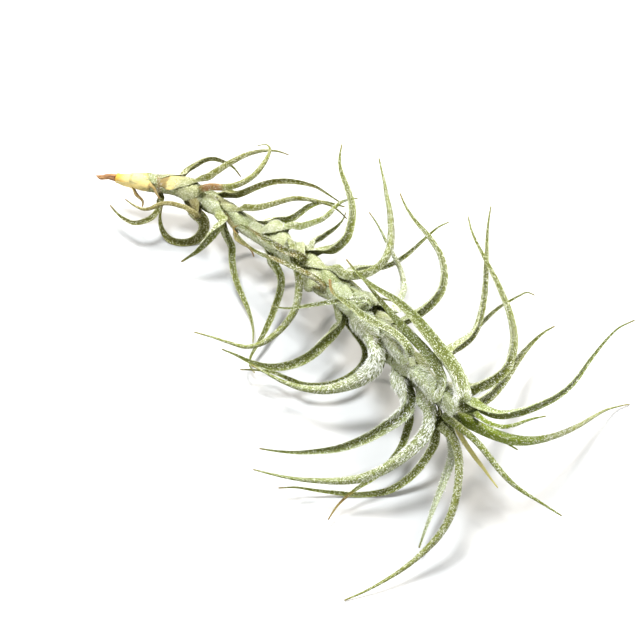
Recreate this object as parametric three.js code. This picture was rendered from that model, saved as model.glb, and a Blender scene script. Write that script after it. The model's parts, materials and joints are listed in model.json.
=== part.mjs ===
// Tillandsia stellifera, an air plant lying on a table. Narrow channelled leaves clasp a slender stem with
// nested sheaths and recurve on every side. A tuft of young leaves is at the growing end, and a bare
// straw-coloured foot with a broken root at the old end.
// Millimetres, +Z up. The origin is on the table, under the middle of the plant.
import * as THREE from "three";

// Driving dimensions
const frontView = {
  span: 213.3, // real width seen across the view from the front, at the plant
  units: 640, // the view's own units, across and down
  elevation: 50, // degrees above the table
  distance: 592, // from the eye to the middle of the view
  middleHeight: 20, // height of the view's middle above the table
};
const stemRadius = { foot: 1.8, old: 2.5, young: 3, end: 1.2 };
const rootRadius = { base: 0.95, tip: 0.45 };
const sheath = {
  thickness: 0.61,
  nearFoot: 9, // lengths along the stem
  middle: 13,
  nearTuft: 8.5,
  halfWrap: 84, // degrees of the stem covered on each side
  youngWrap: 0.58, // share of that in the tuft
};
const blade = {
  widening: 1.12, // of the widths given with the leaves
  flare: 0.3, // added where the blade leaves its sheath, as a share of its width
  tipWidth: 0.75,
  taper: 1.7, // how long the blade keeps its width
  feltedTaper: 0.95,
  marginThickness: 0.6,
  midThickness: 1.3,
  tipThickness: 0.7,
  channel: 0.28, // depth of the channel, as a share of the width
  leavingLength: 2.6, // first stretch, along the stem
  leavingRise: 1.1, // how far that stretch rises off it
  eagerness: 0.1, // how much it already points where the blade goes
  turnsToEyeIn: 14, // length in which a blade turns a flat side to the front
  sharpestTurn: 0.6, // radians from one point of its line to the next
};
const clearGap = 0.32; // air kept between one blade and the next
const bendingGap = 0.4; // added to it while they are bent clear, for the facets
const seatGap = 0.46; // air between nested sheaths

// How finely things are drawn
const axisSteps = 330;
const stemSteps = 30;
const roundStem = 12; // facets around the stem
const rootSteps = 6;
const roundRoot = 8;
const sheathRings = 4;
const bladeRings = { spacing: 6.5, extra: 4, fewest: 4, most: 13, firstGap: 1.2, gap: 1.3, atBends: 5 };
const acrossPoints = 5; // vertices across each face of a leaf
const lineSpacing = 2.2; // between the points of a blade's line while it is bent clear
const fineSteps = 160;
const seatPasses = 16;
const bendingPasses = 150;
const nearPairsEvery = 10;

const degrees = THREE.MathUtils.degToRad;
const { lerp, clamp, smoothstep } = THREE.MathUtils;

// The eye and its axes
const elevation = degrees(frontView.elevation);
const viewRight = new THREE.Vector3(1, 0, 0);
const viewUp = new THREE.Vector3(0, Math.sin(elevation), Math.cos(elevation));
const towardsEye = new THREE.Vector3(0, -Math.cos(elevation), Math.sin(elevation));
const middle = new THREE.Vector3(0, 0, frontView.middleHeight);
const eye = middle.clone().addScaledVector(towardsEye, frontView.distance);

// The point at a height above the table that is seen at a place, across and down, in the front view
function seen([across, down, height]) {
  const unit = frontView.span / frontView.units;
  const inView = middle
    .clone()
    .addScaledVector(viewRight, (across - frontView.units / 2) * unit)
    .addScaledVector(viewUp, (frontView.units / 2 - down) * unit);
  return eye.clone().lerp(inView, (eye.z - height) / (eye.z - inView.z));
}

function curveThrough(points) {
  const curve = new THREE.CatmullRomCurve3(points, false, "centripetal");
  curve.arcLengthDivisions = 300;
  return curve;
}

// The stem's axis from the foot to the growing end
const axisRoute = [
  [117, 178, 15], [145, 183, 15.5], [180, 188, 16.5], [215, 203, 17.5], [250, 228, 19],
  [285, 250, 20.5], [315, 272, 22], [345, 296, 23], [375, 324, 24.5], [400, 352, 26],
  [425, 380, 27], [445, 401, 28], [466, 422, 29],
];
const axis = curveThrough(axisRoute.map(seen));
const axisLength = axis.getLength();
const axisFrames = [];
for (let i = 0; i <= axisSteps; i += 1) {
  const share = i / axisSteps;
  const tangent = axis.getTangentAt(share);
  const front = towardsEye.clone().addScaledVector(tangent, -towardsEye.dot(tangent)).normalize();
  const side = new THREE.Vector3().crossVectors(front, tangent).normalize();
  axisFrames.push({ station: share * axisLength, point: axis.getPointAt(share), tangent, front, side });
}

function frameAt(station) {
  const place = clamp(station / axisLength, 0, 1) * axisSteps;
  const frame = axisFrames[Math.round(place)];
  const point = frame.point.clone().addScaledVector(frame.tangent, station - frame.station);
  return { ...frame, point };
}

// A point round the stem: turn 0 faces the eye, 90 degrees points up the view, -90 down the view
function aroundStem(station, radius, turn) {
  const frame = frameAt(station);
  return frame.point
    .addScaledVector(frame.front, radius * Math.cos(turn))
    .addScaledVector(frame.side, radius * Math.sin(turn));
}

function coreRadius(station) {
  const share = station / axisLength;
  const grown = lerp(stemRadius.old, stemRadius.young, smoothstep(share, 0.2, 0.7));
  const lower = lerp(stemRadius.foot, grown, smoothstep(share, 0, 0.08));
  return lerp(lower, stemRadius.end, smoothstep(share, 0.84, 0.99));
}

// Where the axis is seen at a place across the view
function stationSeenAt(across) {
  const places = axisRoute.map((point) => point[0]);
  let best = axisFrames[0];
  let nearest = Infinity;
  for (const frame of axisFrames) {
    const depth = eye.clone().sub(frame.point).dot(towardsEye);
    const scale = (frontView.distance / depth) * (frontView.units / frontView.span);
    const away = Math.abs(frame.point.x * scale + frontView.units / 2 - across);
    if (away < nearest) {
      nearest = away;
      best = frame;
    }
  }
  return best.station + Math.max(across - places.at(-1), 0) * 0.4;
}

// The leaves from the foot on. from: where across the view the blade leaves the stem. turn: on which side of
// it, in degrees, as for aroundStem. clasp: the sheath's length, where it isn't the usual one. width: the
// blade's at its base. route: places in the front view that the blade passes, with heights above the table.
const leafRows = [
  { from: 135, turn: -90, clasp: 3, width: 1.4, kind: "dead", route: [[144, 198, 12.5], [142, 207, 12]] },
  { from: 151, turn: -15, clasp: 4, width: 1.4, kind: "dead", route: [[156, 193, 20.5], [160, 199, 20]] },
  {
    from: 158, turn: -115, clasp: 6, width: 2, kind: "old",
    route: [
      [161, 203, 13], [159, 211, 12], [153, 217, 11], [145, 221, 10.5], [136, 223, 10], [127, 220, 9.5],
      [118, 214, 9], [110, 205, 9],
    ],
  },
  {
    from: 176, turn: 110, width: 1.9, kind: "old",
    route: [
      [189, 171, 18], [196, 167, 19], [203, 162, 19.5], [211, 159, 19.5], [221, 161, 18], [232, 166, 16],
      [241, 177, 13],
    ],
  },
  {
    from: 187, turn: -120, width: 3, kind: "old",
    route: [
      [202, 210, 12], [205, 218, 9], [203, 227, 6], [197, 235, 3.2], [188, 240, 1.3], [180, 241, 0.8],
      [170, 238, 1.2], [163, 230, 3], [160, 220, 5.5], [161, 210, 8], [163, 203, 10],
    ],
  },
  {
    from: 193, turn: 60, width: 2.3, kind: "old",
    route: [
      [207, 178, 23.5], [215, 173, 25], [225, 166, 26], [235, 160, 26.5], [245, 155, 26], [255, 152, 25],
      [266, 150.5, 23.5], [277, 151, 22], [289, 155, 20],
    ],
  },
  {
    from: 203, turn: 10, width: 2.3, kind: "old",
    route: [
      [216, 191, 24], [226, 191, 25.5], [236, 188, 27], [246, 183, 28], [255, 176, 29], [262, 167, 30],
      [268, 157, 30.5], [270, 150, 30], [268, 145, 29], [257, 146, 26],
    ],
  },
  {
    from: 206, turn: -75, width: 2, kind: "dead",
    route: [
      [212, 208, 22], [206, 207, 23], [195, 204, 21.5], [180, 203, 20.5], [170, 202, 20], [160, 204, 19.5],
      [150, 209, 19], [138, 207, 18], [125, 199, 17],
    ],
  },
  {
    from: 213, turn: 102, width: 2.3, kind: "old",
    route: [
      [232, 197, 22], [245, 193, 25], [255, 188, 26.5], [266, 184, 27], [280, 181.5, 26.5], [295, 182, 25],
      [306, 184, 23.5], [316, 187, 22], [329, 195, 19], [341, 203, 16],
    ],
  },
  {
    from: 220, turn: -160, width: 2.2, kind: "old",
    route: [
      [240, 226, 10], [250, 231, 7], [262, 238, 5.5], [274, 245, 5], [286, 252, 5],
    ],
  },
  {
    from: 226, turn: -34, width: 2.2, kind: "green",
    route: [
      [236, 219, 27.5], [230, 222, 27.5], [222, 226, 24.5], [213, 233, 21], [204, 242, 17], [195, 251, 13],
      [187, 257, 10], [181, 262, 8],
    ],
  },
  {
    from: 228, turn: -100, width: 2.4, kind: "green",
    route: [
      [233, 240, 12], [233, 255, 10], [234, 268, 8.5], [237, 280, 7], [241, 292, 6], [246, 303, 5],
      [250, 315, 4.3], [253, 328, 3.6], [253, 343, 3],
    ],
  },
  {
    from: 236, turn: 50, width: 2.1, kind: "old",
    route: [
      [255, 209, 26.5], [267, 206, 28.5], [280, 202, 29.5], [292, 198.5, 30], [303, 198.5, 30],
      [315, 200.5, 29], [326, 203.5, 27.5], [336, 208.5, 25.5], [347, 219, 22],
    ],
  },
  { from: 242, turn: -90, width: 1.6, kind: "dead", route: [[250, 247, 15], [254, 257, 13.5]] },
  {
    from: 251, turn: 130, width: 2.6, kind: "green",
    route: [
      [270, 218, 17], [282, 219, 16], [292, 216, 16], [301, 210, 16], [311, 204.5, 15.5], [322, 202, 14.5],
      [334, 204, 13], [345, 207, 11],
    ],
  },
  {
    from: 258, turn: -165, width: 2.3, kind: "green",
    route: [
      [280, 258, 10], [294, 262, 7], [308, 270, 5], [322, 280, 4], [334, 291, 4],
    ],
  },
  {
    from: 270, turn: -105, width: 2.6, kind: "green",
    route: [
      [281, 275, 14], [281, 286, 11.5], [278, 298, 9.5], [274, 310, 8], [269, 322, 7], [263, 335, 6],
      [256, 347, 5], [250, 358, 4], [251, 369, 3.5], [255, 373, 3.5],
    ],
  },
  {
    from: 277, turn: 75, width: 2.2, kind: "green",
    route: [
      [300, 229, 25], [311, 226, 27], [320, 222, 28], [327, 217, 28.5], [333, 210, 29], [340, 203, 29],
      [348, 200, 28], [358, 198, 26.5],
    ],
  },
  {
    from: 290, turn: 25, width: 2.6, kind: "green",
    route: [
      [302, 262, 28.5], [305, 276, 27], [304, 288, 24], [302, 299, 21.5], [298, 310, 19], [290, 321, 16.5],
      [280, 331, 15], [268, 340, 14], [255, 346, 13.3], [243, 346.5, 13], [229, 342.5, 12.5],
      [212, 337, 12], [194, 332, 12],
    ],
  },
  {
    from: 293, turn: 150, width: 2.4, kind: "green",
    route: [
      [315, 243, 14.5], [323, 238, 13], [330, 232, 12.5], [338, 226, 12], [344, 218, 12], [346, 212, 12],
    ],
  },
  {
    from: 305, turn: 5, width: 2.5, kind: "green",
    route: [
      [316, 273, 32.5], [312, 266, 35], [302, 260, 34.5], [290, 254, 32], [278, 246, 30], [265, 238, 28.5],
      [255, 231, 27], [246, 225, 26], [240, 222, 25], [233, 228, 24],
    ],
  },
  {
    from: 306, turn: 85, width: 2.8, kind: "green",
    route: [
      [328, 253, 27], [338, 247, 29.5], [345, 240, 31], [349, 230, 32], [351.5, 220, 32.5],
      [352, 208, 32.5], [350, 197, 31.5], [346, 185, 30], [341.5, 173, 28.5], [339.5, 160, 26.5],
      [342, 144, 24],
    ],
  },
  {
    from: 312, turn: 175, width: 2.3, kind: "green",
    route: [
      [335, 281, 11], [346, 287, 8], [360, 292, 6], [376, 297, 5], [392, 301, 5],
    ],
  },
  {
    from: 322, turn: 60, width: 2.7, kind: "green",
    route: [
      [345, 278, 28.5], [358, 277, 30], [368, 274, 31.5], [377, 269, 32.5], [384, 260, 33.5],
      [389, 250, 34], [391, 238, 34], [391, 225, 33.5], [390, 212, 33], [387, 198, 32], [385, 185, 31],
      [382, 172, 29.5], [379, 158, 28],
    ],
  },
  {
    from: 327, turn: -30, width: 2.1, kind: "green",
    route: [
      [340, 295, 33.5], [336, 289, 35.5], [325, 282, 35], [310, 275, 34], [295, 268, 32.5],
      [280, 261, 30.5], [265, 256, 28.5], [252, 249, 27], [243, 241, 26], [233, 229, 25],
    ],
  },
  {
    from: 330, turn: 125, width: 2.1, kind: "green",
    route: [
      [354, 271, 18], [365, 269, 16.5], [384, 267, 14.5], [396, 262, 14], [409, 253, 13.5],
      [420, 243, 13.5], [430, 234, 13], [440, 226, 12.5], [449, 222, 12],
    ],
  },
  {
    from: 334, turn: -80, width: 3.6, kind: "green",
    route: [
      [339, 320, 20], [336, 328, 18], [330, 337, 16.5], [321, 347, 15.5], [312, 354, 14.5], [302, 360, 14],
      [290, 364.5, 13.5], [278, 367, 13], [265, 366.5, 12.5], [252, 363, 12], [237, 356, 11],
      [220, 349, 10],
    ],
  },
  {
    from: 341, turn: -135, width: 2.8, kind: "green",
    route: [
      [360, 338, 14], [366, 349, 12], [366, 358, 10.5], [360, 369, 9.5], [350, 377, 9], [337, 383, 8.5],
      [325, 385.5, 8.2], [313, 386, 8], [301, 384, 7.8], [287, 378, 7.4], [272, 372, 7], [256, 370, 6.6],
      [240, 369.5, 6.4],
    ],
  },
  {
    from: 349, turn: -165, width: 2.3, kind: "green",
    route: [
      [372, 341, 11], [384, 352, 8], [398, 363, 6], [410, 372, 5], [420, 378, 5],
    ],
  },
  {
    from: 360, turn: -45, width: 4.4, kind: "felted",
    route: [
      [378, 343, 29], [381, 353, 27.5], [376, 363, 24.5], [368, 371, 22], [359, 377, 20],
      [349, 382.5, 18.5], [338, 386.5, 17.5], [325, 389, 16.5], [312, 389, 15.7], [300, 387.5, 15],
      [287, 383.5, 14.3], [274, 377, 13.7], [262, 371, 13.2], [251, 365, 12.7],
    ],
  },
  {
    from: 370, turn: 25, width: 2.1, kind: "felted",
    route: [
      [386, 321, 33], [381, 313, 34], [370, 308, 33.5], [360, 306.5, 32.5], [350, 305, 31.5],
      [337, 304, 30.5], [320, 305, 28.5], [302, 307, 26.5], [287, 308.5, 24.5], [271, 306, 22],
    ],
  },
  {
    from: 374, turn: 110, width: 2.3, kind: "felted",
    route: [
      [398, 306, 21], [403.5, 296, 20], [404, 285, 19.5], [402, 273, 19], [397, 262, 18.5], [391, 250, 18],
      [385, 239, 17], [378, 225, 16], [369, 212, 15],
    ],
  },
  {
    from: 384, turn: 70, width: 2.8, kind: "green",
    route: [
      [407, 322, 31], [418, 315, 33], [427, 308, 34], [435, 300, 35], [441, 290, 35.5], [444, 278, 35.5],
      [443.5, 266, 35], [441, 256, 34], [435, 245, 33], [427, 234, 31.5], [418, 224, 30], [411, 215, 28.5],
      [405, 205, 26.5], [400, 193, 24],
    ],
  },
  {
    from: 392, turn: 0, width: 4.2, kind: "felted",
    route: [
      [406, 358, 36], [414, 362, 38.5], [417, 356, 41.5], [411, 346, 43], [403, 338, 42.5],
      [393, 331, 41.5], [380, 325, 40], [366, 317, 38], [354, 308, 36.5], [343, 300.5, 35], [333, 293, 34],
      [327, 286, 34], [330, 279, 35],
    ],
  },
  {
    from: 397, turn: 165, width: 2.3, kind: "green",
    route: [
      [420, 358, 14], [432, 362, 11], [446, 364, 9], [460, 365, 7.5], [473, 366, 7],
    ],
  },
  {
    from: 402, turn: -70, width: 3.6, kind: "felted",
    route: [
      [411, 401, 26.5], [407, 410, 25], [399, 418, 23], [390, 424.5, 21], [380, 431, 19.5],
      [370, 436.5, 18], [360, 441, 16.7], [350, 445, 15.5], [338, 448.5, 14], [325, 450.5, 13],
      [310, 452, 12], [293, 452.5, 11], [276, 451, 10], [259, 448.5, 9],
    ],
  },
  {
    from: 406, turn: -135, width: 2.5, kind: "green",
    route: [
      [410, 420, 16], [407, 430, 14], [404, 441, 12.5], [399, 451, 11.5], [393, 459, 10.7], [387, 466, 10],
      [376, 476, 9], [366, 483, 8], [355, 489.5, 7], [345, 498, 5.5], [337, 506, 4.5], [328, 520, 3],
    ],
  },
  {
    from: 410, turn: 75, width: 2.7, kind: "green",
    route: [
      [441, 360, 27.5], [452, 352, 28], [462, 346, 28], [472, 337, 27.5], [478, 327, 27], [481.5, 314, 26],
      [484, 300, 25], [485.5, 285, 24], [486, 270, 23], [486.5, 255, 22], [487, 240, 21], [488, 225, 20],
      [491, 206, 18],
    ],
  },
  {
    from: 414, turn: 120, width: 1.8, kind: "green",
    route: [
      [447, 350, 19.5], [460, 342, 19], [472, 333, 18.5], [482, 323, 18], [490, 315, 17.5],
      [500, 306.5, 17], [511, 300, 16], [520, 295, 14.5], [529, 291.5, 13.5], [535, 295.5, 12],
    ],
  },
  {
    from: 420, turn: -25, width: 4.6, kind: "felted",
    route: [
      [432, 398, 37.5], [438, 403, 40.5], [442, 398, 44], [443, 388, 46], [440, 376, 46.5], [434, 365, 46],
      [426, 354, 45], [416, 343, 43.5], [405, 330.5, 42], [395, 319, 40], [387, 309, 38.5],
      [379, 299, 37.5], [370, 287, 36.5], [361, 276.5, 35.5], [352, 266, 34],
    ],
  },
  {
    from: 426, turn: -70, width: 4.8, kind: "felted",
    route: [
      [437, 418, 31], [434, 427, 29], [427, 436, 27], [418, 445, 25], [408, 453, 23], [398, 460.5, 21],
      [389, 466.5, 19.5], [379, 471.5, 18], [368, 476, 16.5], [356, 479.5, 15], [343, 481, 13.7],
      [328, 481, 12.5], [312, 480.5, 11.4], [296, 479, 10.3], [280, 476, 9.3], [266, 473, 8.4],
      [253, 469.5, 7.5],
    ],
  },
  {
    from: 428, turn: -140, width: 2.6, kind: "green",
    route: [
      [436, 435, 17], [431, 449, 13], [424, 461, 10], [415, 472, 7], [405, 481, 4.5], [395, 487.5, 2.8],
      [385, 491.5, 1.5], [375, 493.5, 0.5], [363, 494.5, 0.35], [350, 494.5, 0.5], [335, 492.5, 1.4],
      [320, 491, 2.5], [305, 488.5, 3.8], [291, 487, 5], [278, 488, 6],
    ],
  },
  {
    from: 434, turn: 165, width: 2.4, kind: "green",
    route: [
      [455, 398, 15], [468, 396, 11], [481, 388, 7], [494, 379, 4], [506, 370, 1.6], [517, 363, 0.4],
      [525, 358, 0.3], [531, 354, 0.9],
    ],
  },
  {
    from: 437, turn: 95, width: 2.9, kind: "green",
    route: [
      [464, 391, 33], [474, 390, 34.5], [485, 385, 35.5], [495, 380, 36], [503, 373, 36.5],
      [509, 363, 36.5], [512.5, 352, 36], [514, 340, 35.5], [512.5, 325, 34.5], [508, 308, 33],
      [501, 291, 31.5], [493, 274, 30], [484, 257, 28.5], [477, 243, 27], [471, 229, 25.5], [468, 216, 24],
    ],
  },
  {
    from: 439, turn: -115, width: 2.5, kind: "felted",
    route: [
      [449, 428, 22], [452, 438, 20], [453, 448, 18.5], [452, 458, 16.5], [449, 468, 14.5], [445, 478, 13],
      [441, 489, 11.5], [437, 499, 10], [433, 509, 8.7], [429, 520, 7.5], [424, 533, 6.2], [419, 548, 4.8],
    ],
  },
  {
    from: 441, turn: 5, width: 6.9, kind: "felted",
    route: [
      [452, 410, 41], [458, 415, 45], [464, 410, 49], [465, 399, 51.5], [462, 386, 52.5], [455, 371, 52.5],
      [446, 357, 51.5], [436, 344, 50], [425, 330, 48.5], [414, 317, 47], [402, 305, 45], [388, 295, 43],
      [374, 286.5, 41], [363, 278, 39.5], [353, 269, 38.5], [346, 259, 38],
    ],
  },
  {
    from: 444, turn: 145, width: 3.3, kind: "green",
    route: [
      [468, 407, 25], [480, 402, 23], [490, 396, 22], [498, 388, 21], [505, 379, 19.5], [511, 370, 18],
      [517.5, 360, 16.5], [524, 352, 15], [532, 343, 13], [543, 333, 11], [555, 326, 9],
    ],
  },
  {
    from: 446, turn: -75, width: 2.7, kind: "green",
    route: [
      [456, 436, 31], [459, 448, 29], [459.5, 460, 27], [459, 473, 25], [457.5, 487, 22.5],
      [455.5, 499, 20], [452, 511, 18], [448, 521, 16], [443, 530, 14], [437, 538, 12.3], [430, 546, 10.6],
      [422, 553.5, 9], [413, 561.5, 7.5], [403, 569, 6], [391, 577, 4.6], [378, 584.5, 3.4],
      [365, 591.5, 2], [357, 595, 1], [350, 598, 0.4], [344, 600.5, 0.3],
    ],
  },
  {
    from: 448, turn: -150, width: 1.9, kind: "dead",
    route: [
      [461, 437, 21], [469, 449, 18.5], [477, 460, 16.5], [484, 469, 15], [491, 479, 13.5], [498, 488, 12],
    ],
  },
  {
    from: 450, turn: 80, width: 2.9, kind: "felted",
    route: [
      [475, 409, 35], [485, 414, 36.5], [495, 416.5, 37], [505, 416.5, 37], [515, 414.5, 36.5],
      [525, 411, 36], [535, 407.5, 35], [545, 403, 33.5], [555, 398, 32], [564, 392, 30],
      [573, 383.5, 27.5], [580, 375, 25.5], [588, 363, 23], [596, 352.5, 20.5], [604, 342.5, 18.5],
      [613, 333, 16.5], [623, 325, 15], [635, 320, 13.5],
    ],
  },
  {
    from: 452, turn: -45, width: 2.1, kind: "green",
    route: [
      [468, 434, 35], [478, 443, 33], [486, 453, 31], [494, 463, 28.5], [502, 473, 26], [510, 481.5, 23.5],
      [519, 489, 21], [530, 496, 18], [546, 506, 14.5], [562, 516, 11],
    ],
  },
  {
    from: 454, turn: 170, width: 1.5, kind: "green",
    route: [
      [476, 427, 24], [486, 432, 22], [495, 436, 20.5], [505, 442, 18.5], [518, 450, 16],
    ],
  },
  {
    from: 457, turn: 5, width: 3.2, kind: "green",
    route: [
      [479, 424, 34.5], [490, 430, 33.5], [500, 434.5, 32], [510, 438, 30], [520, 440, 27.5],
      [530, 440.5, 25], [540, 439.5, 22.5], [550, 437.5, 20], [560, 434, 17.5], [570, 430, 15],
      [580, 425, 12], [590, 419, 9], [600, 413, 6.2], [610, 408.5, 3.4], [618, 406.5, 1.2],
      [624, 405, 0.4], [630, 404, 0.3],
    ],
  },
  {
    from: 461, turn: 80, width: 1.6, kind: "green",
    route: [
      [480, 420, 42], [489, 425, 42.5], [498, 428, 42.5], [507, 427.5, 41.5], [516, 425, 40],
      [526, 421, 38], [536, 418, 35.5], [546, 416, 33],
    ],
  },
];

const colours = {
  green: 0x7d8a5c,
  felted: 0xc2c7b2,
  old: 0x6f6a45,
  dead: 0x7a5636,
  stem: 0xb59a55,
  root: 0x6b4a2c,
};
function finish(colour) {
  return new THREE.MeshStandardMaterial({ color: colour, roughness: 0.8, metalness: 0 });
}

// Each leaf with its sheath's ends, root and top, as stations along the stem
const leaves = leafRows
  .map((row) => {
    const top = stationSeenAt(row.from);
    const share = top / axisLength;
    const grown = lerp(sheath.nearFoot, sheath.middle, smoothstep(share, 0.1, 0.5));
    const length = lerp(grown, sheath.nearTuft, smoothstep(share, 0.75, 0.95));
    const halfWrap = degrees(sheath.halfWrap) * lerp(1, sheath.youngWrap, smoothstep(share, 0.8, 0.95));
    return { ...row, top, root: top - (row.clasp ?? length), turn: degrees(row.turn), halfWrap };
  })
  .sort((a, b) => a.top - b.top);

// How far each place round the stem is already built up, by station and turn
const mapStep = 0.5;
const turnSteps = 72;
const mapRows = Math.ceil((axisLength + 12) / mapStep) + 1;
const builtUp = [];
for (let i = 0; i < mapRows; i += 1) {
  builtUp.push(new Array(turnSteps).fill(coreRadius(Math.min(i * mapStep, axisLength))));
}
const turnOf = (column) => (column / turnSteps) * 2 * Math.PI;
function turnApart(a, b) {
  const apart = Math.abs(a - b) % (2 * Math.PI);
  return Math.min(apart, 2 * Math.PI - apart);
}

// Half the angle that a sheath takes up, by the share of its length
function wrapAt(leaf, share) {
  return leaf.halfWrap * lerp(lerp(0.7, 1, smoothstep(share, 0, 0.35)), 0.4, smoothstep(share, 0.4, 1));
}

// Each sheath is a grid of vertices, sheathRings along the stem by acrossPoints round it. A place on it is
// shared by the four vertices about it, in these parts.
function placeOnSheath(share, sideways) {
  const along = clamp(share, 0, 1) * (sheathRings - 1);
  const round = clamp(sideways / 2 + 0.5, 0, 1) * (acrossPoints - 1);
  const k = Math.min(Math.floor(along), sheathRings - 2);
  const i = Math.min(Math.floor(round), acrossPoints - 2);
  const [high, right] = [along - k, round - i];
  return [
    [k, i, (1 - high) * (1 - right)], [k, i + 1, (1 - high) * right],
    [k + 1, i, high * (1 - right)], [k + 1, i + 1, high * right],
  ];
}

// A flat facet between two vertices passes nearer to the stem than they do
function facetLoss(leaf, share) {
  return Math.cos(wrapAt(leaf, share) / (acrossPoints - 1));
}

// The youngest sheath is seated first, each older one outside it
const seatMargin = degrees(5);
const leastPart = 0.04; // a vertex that carries less of a place isn't moved for it
const seatStep = 0.4; // share of the way in that a vertex comes at each pass
for (const leaf of [...leaves].reverse()) {
  const length = leaf.top - leaf.root;
  const step = length / (sheathRings - 1);
  leaf.stations = Array.from({ length: sheathRings }, (_, k) => leaf.root + k * step);
  const seats = [];
  for (let row = 0; row < mapRows; row += 1) {
    const station = row * mapStep;
    if (station < leaf.root - mapStep || station > leaf.top + mapStep) continue;
    const share = clamp((station - leaf.root) / length, 0, 1);
    for (let column = 0; column < turnSteps; column += 1) {
      const off = ((turnOf(column) - leaf.turn + 5 * Math.PI) % (2 * Math.PI)) - Math.PI;
      const wrap = wrapAt(leaf, share);
      if (Math.abs(off) > wrap + seatMargin) continue;
      const parts = placeOnSheath(share, off / wrap);
      seats.push({ row, column, share, parts, need: builtUp[row][column] + seatGap });
    }
  }
  // Every vertex starts wide and comes in as far as the sheaths inside it allow
  const widest = Math.max(...seats.map((seat) => seat.need));
  leaf.radii = leaf.stations.map(() => new Array(acrossPoints).fill(widest));
  const radiusAt = (seat) => seat.parts.reduce((sum, [k, i, part]) => sum + leaf.radii[k][i] * part, 0);
  for (let pass = 0; pass < seatPasses; pass += 1) {
    for (let k = sheathRings - 1; k >= 0; k -= 1) {
      for (let i = 0; i < acrossPoints; i += 1) {
        let least = coreRadius(Math.min(leaf.stations[k], axisLength)) + clearGap;
        for (const seat of seats) {
          const held = seat.parts.find((part) => part[0] === k && part[1] === i);
          if (!held || held[2] < leastPart) continue;
          const others = radiusAt(seat) - leaf.radii[k][i] * held[2];
          least = Math.max(least, (seat.need - others) / held[2]);
        }
        leaf.radii[k][i] = lerp(leaf.radii[k][i], Math.min(least, widest), seatStep);
      }
    }
  }
  for (const seat of seats) {
    const outside = radiusAt(seat) / facetLoss(leaf, seat.share) + sheath.thickness;
    builtUp[seat.row][seat.column] = Math.max(builtUp[seat.row][seat.column], outside);
  }
}

// The blade's line: from the sheath's top through its route
function bladeWidth(leaf, share) {
  const taper = leaf.kind === "felted" ? blade.feltedTaper : blade.taper;
  const flare = leaf.width * blade.flare * (1 - share) ** 10;
  return lerp(leaf.width * blade.widening, blade.tipWidth, share ** taper) + flare;
}

function bladeThickness(share) {
  return lerp(blade.midThickness, blade.tipThickness, share);
}

for (const leaf of leaves) {
  const seated = leaf.radii.at(-1)[(acrossPoints - 1) / 2] + sheath.thickness / 2;
  const start = aroundStem(leaf.top, seated, leaf.turn);
  leaf.firstOut = aroundStem(leaf.top, 1, leaf.turn).sub(frameAt(leaf.top).point).normalize();
  leaf.firstTangent = frameAt(leaf.top).tangent;
  const risen = aroundStem(leaf.top + blade.leavingLength, seated + blade.leavingRise, leaf.turn);
  const leaving = risen.sub(start).normalize();
  const onwards = seen(leaf.route[0]).sub(start).normalize();
  onwards.addScaledVector(leaf.firstOut, Math.max(-onwards.dot(leaf.firstOut), 0));
  leaving.lerp(onwards, blade.eagerness).setLength(blade.leavingLength).add(start);
  const curve = curveThrough([start, leaving, ...leaf.route.map(seen)]);
  leaf.length = curve.getLength();
  const steps = Math.max(4, Math.round(leaf.length / lineSpacing));
  leaf.line = curve.getSpacedPoints(steps);
}

// Carries the outward direction along a line, turning the nearer flat side slowly to face the eye
function carriedFrames(line, firstOut, firstTangent) {
  const frames = [];
  const turning = new THREE.Quaternion();
  let out = firstOut.clone();
  let before = firstTangent;
  line.forEach((point, k) => {
    const last = line[Math.max(k - 1, 0)];
    const tangent = line[Math.min(k + 1, line.length - 1)].clone().sub(last).normalize();
    out = out.clone().applyQuaternion(turning.setFromUnitVectors(before, tangent));
    out.addScaledVector(tangent, -out.dot(tangent)).normalize();
    before = tangent;
    const facing = towardsEye.clone().addScaledVector(tangent, -towardsEye.dot(tangent));
    const turned = (point.distanceTo(last) / blade.turnsToEyeIn) * Math.sign(out.dot(facing));
    out.addScaledVector(facing, turned * facing.length()).normalize();
    const across = new THREE.Vector3().crossVectors(out, tangent).normalize();
    frames.push({ point, tangent, out, across });
  });
  return frames;
}

function nearestFrame(point) {
  let best = 0;
  let nearest = Infinity;
  for (let i = 0; i <= axisSteps; i += 3) {
    const away = axisFrames[i].point.distanceToSquared(point);
    if (away < nearest) {
      nearest = away;
      best = i;
    }
  }
  return axisFrames[best];
}

// Blades that would cross each other, the table or the stem are bent clear, mostly towards the eye or away
const firmLength = 1.5; // from the sheath, where a blade isn't bent
const freeLength = 9; // and where it is bent freely
const samples = leaves.flatMap((leaf, owner) => {
  const last = leaf.line.length - 1;
  leaf.chosen = leaf.line.map((point) => point.clone());
  leaf.samples = leaf.line.map((point, k) => {
    const width = bladeWidth(leaf, k / last);
    const halfWidth = width / 2 + 0.1;
    const halfDepth = bladeThickness(k / last) / 2 + blade.channel * 0.5 * width;
    const free = smoothstep((k / last) * leaf.length, firmLength, freeLength);
    return { owner, k, point, free, halfWidth, halfDepth, shove: new THREE.Vector3() };
  });
  return leaf.samples;
});

function reach(sample, direction) {
  const wide = sample.halfWidth * direction.dot(sample.across);
  const deep = sample.halfDepth * direction.dot(sample.out);
  return Math.hypot(wide, deep);
}

function findNearPairs() {
  const pairs = [];
  samples.forEach((a, i) => {
    for (let j = i + 1; j < samples.length; j += 1) {
      const b = samples[j];
      if (a.free + b.free === 0 || (a.owner === b.owner && b.k - a.k < 5)) continue;
      const most = a.halfWidth + b.halfWidth + 4;
      if (a.point.distanceToSquared(b.point) < most * most) pairs.push([a, b]);
    }
  });
  return pairs;
}

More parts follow.
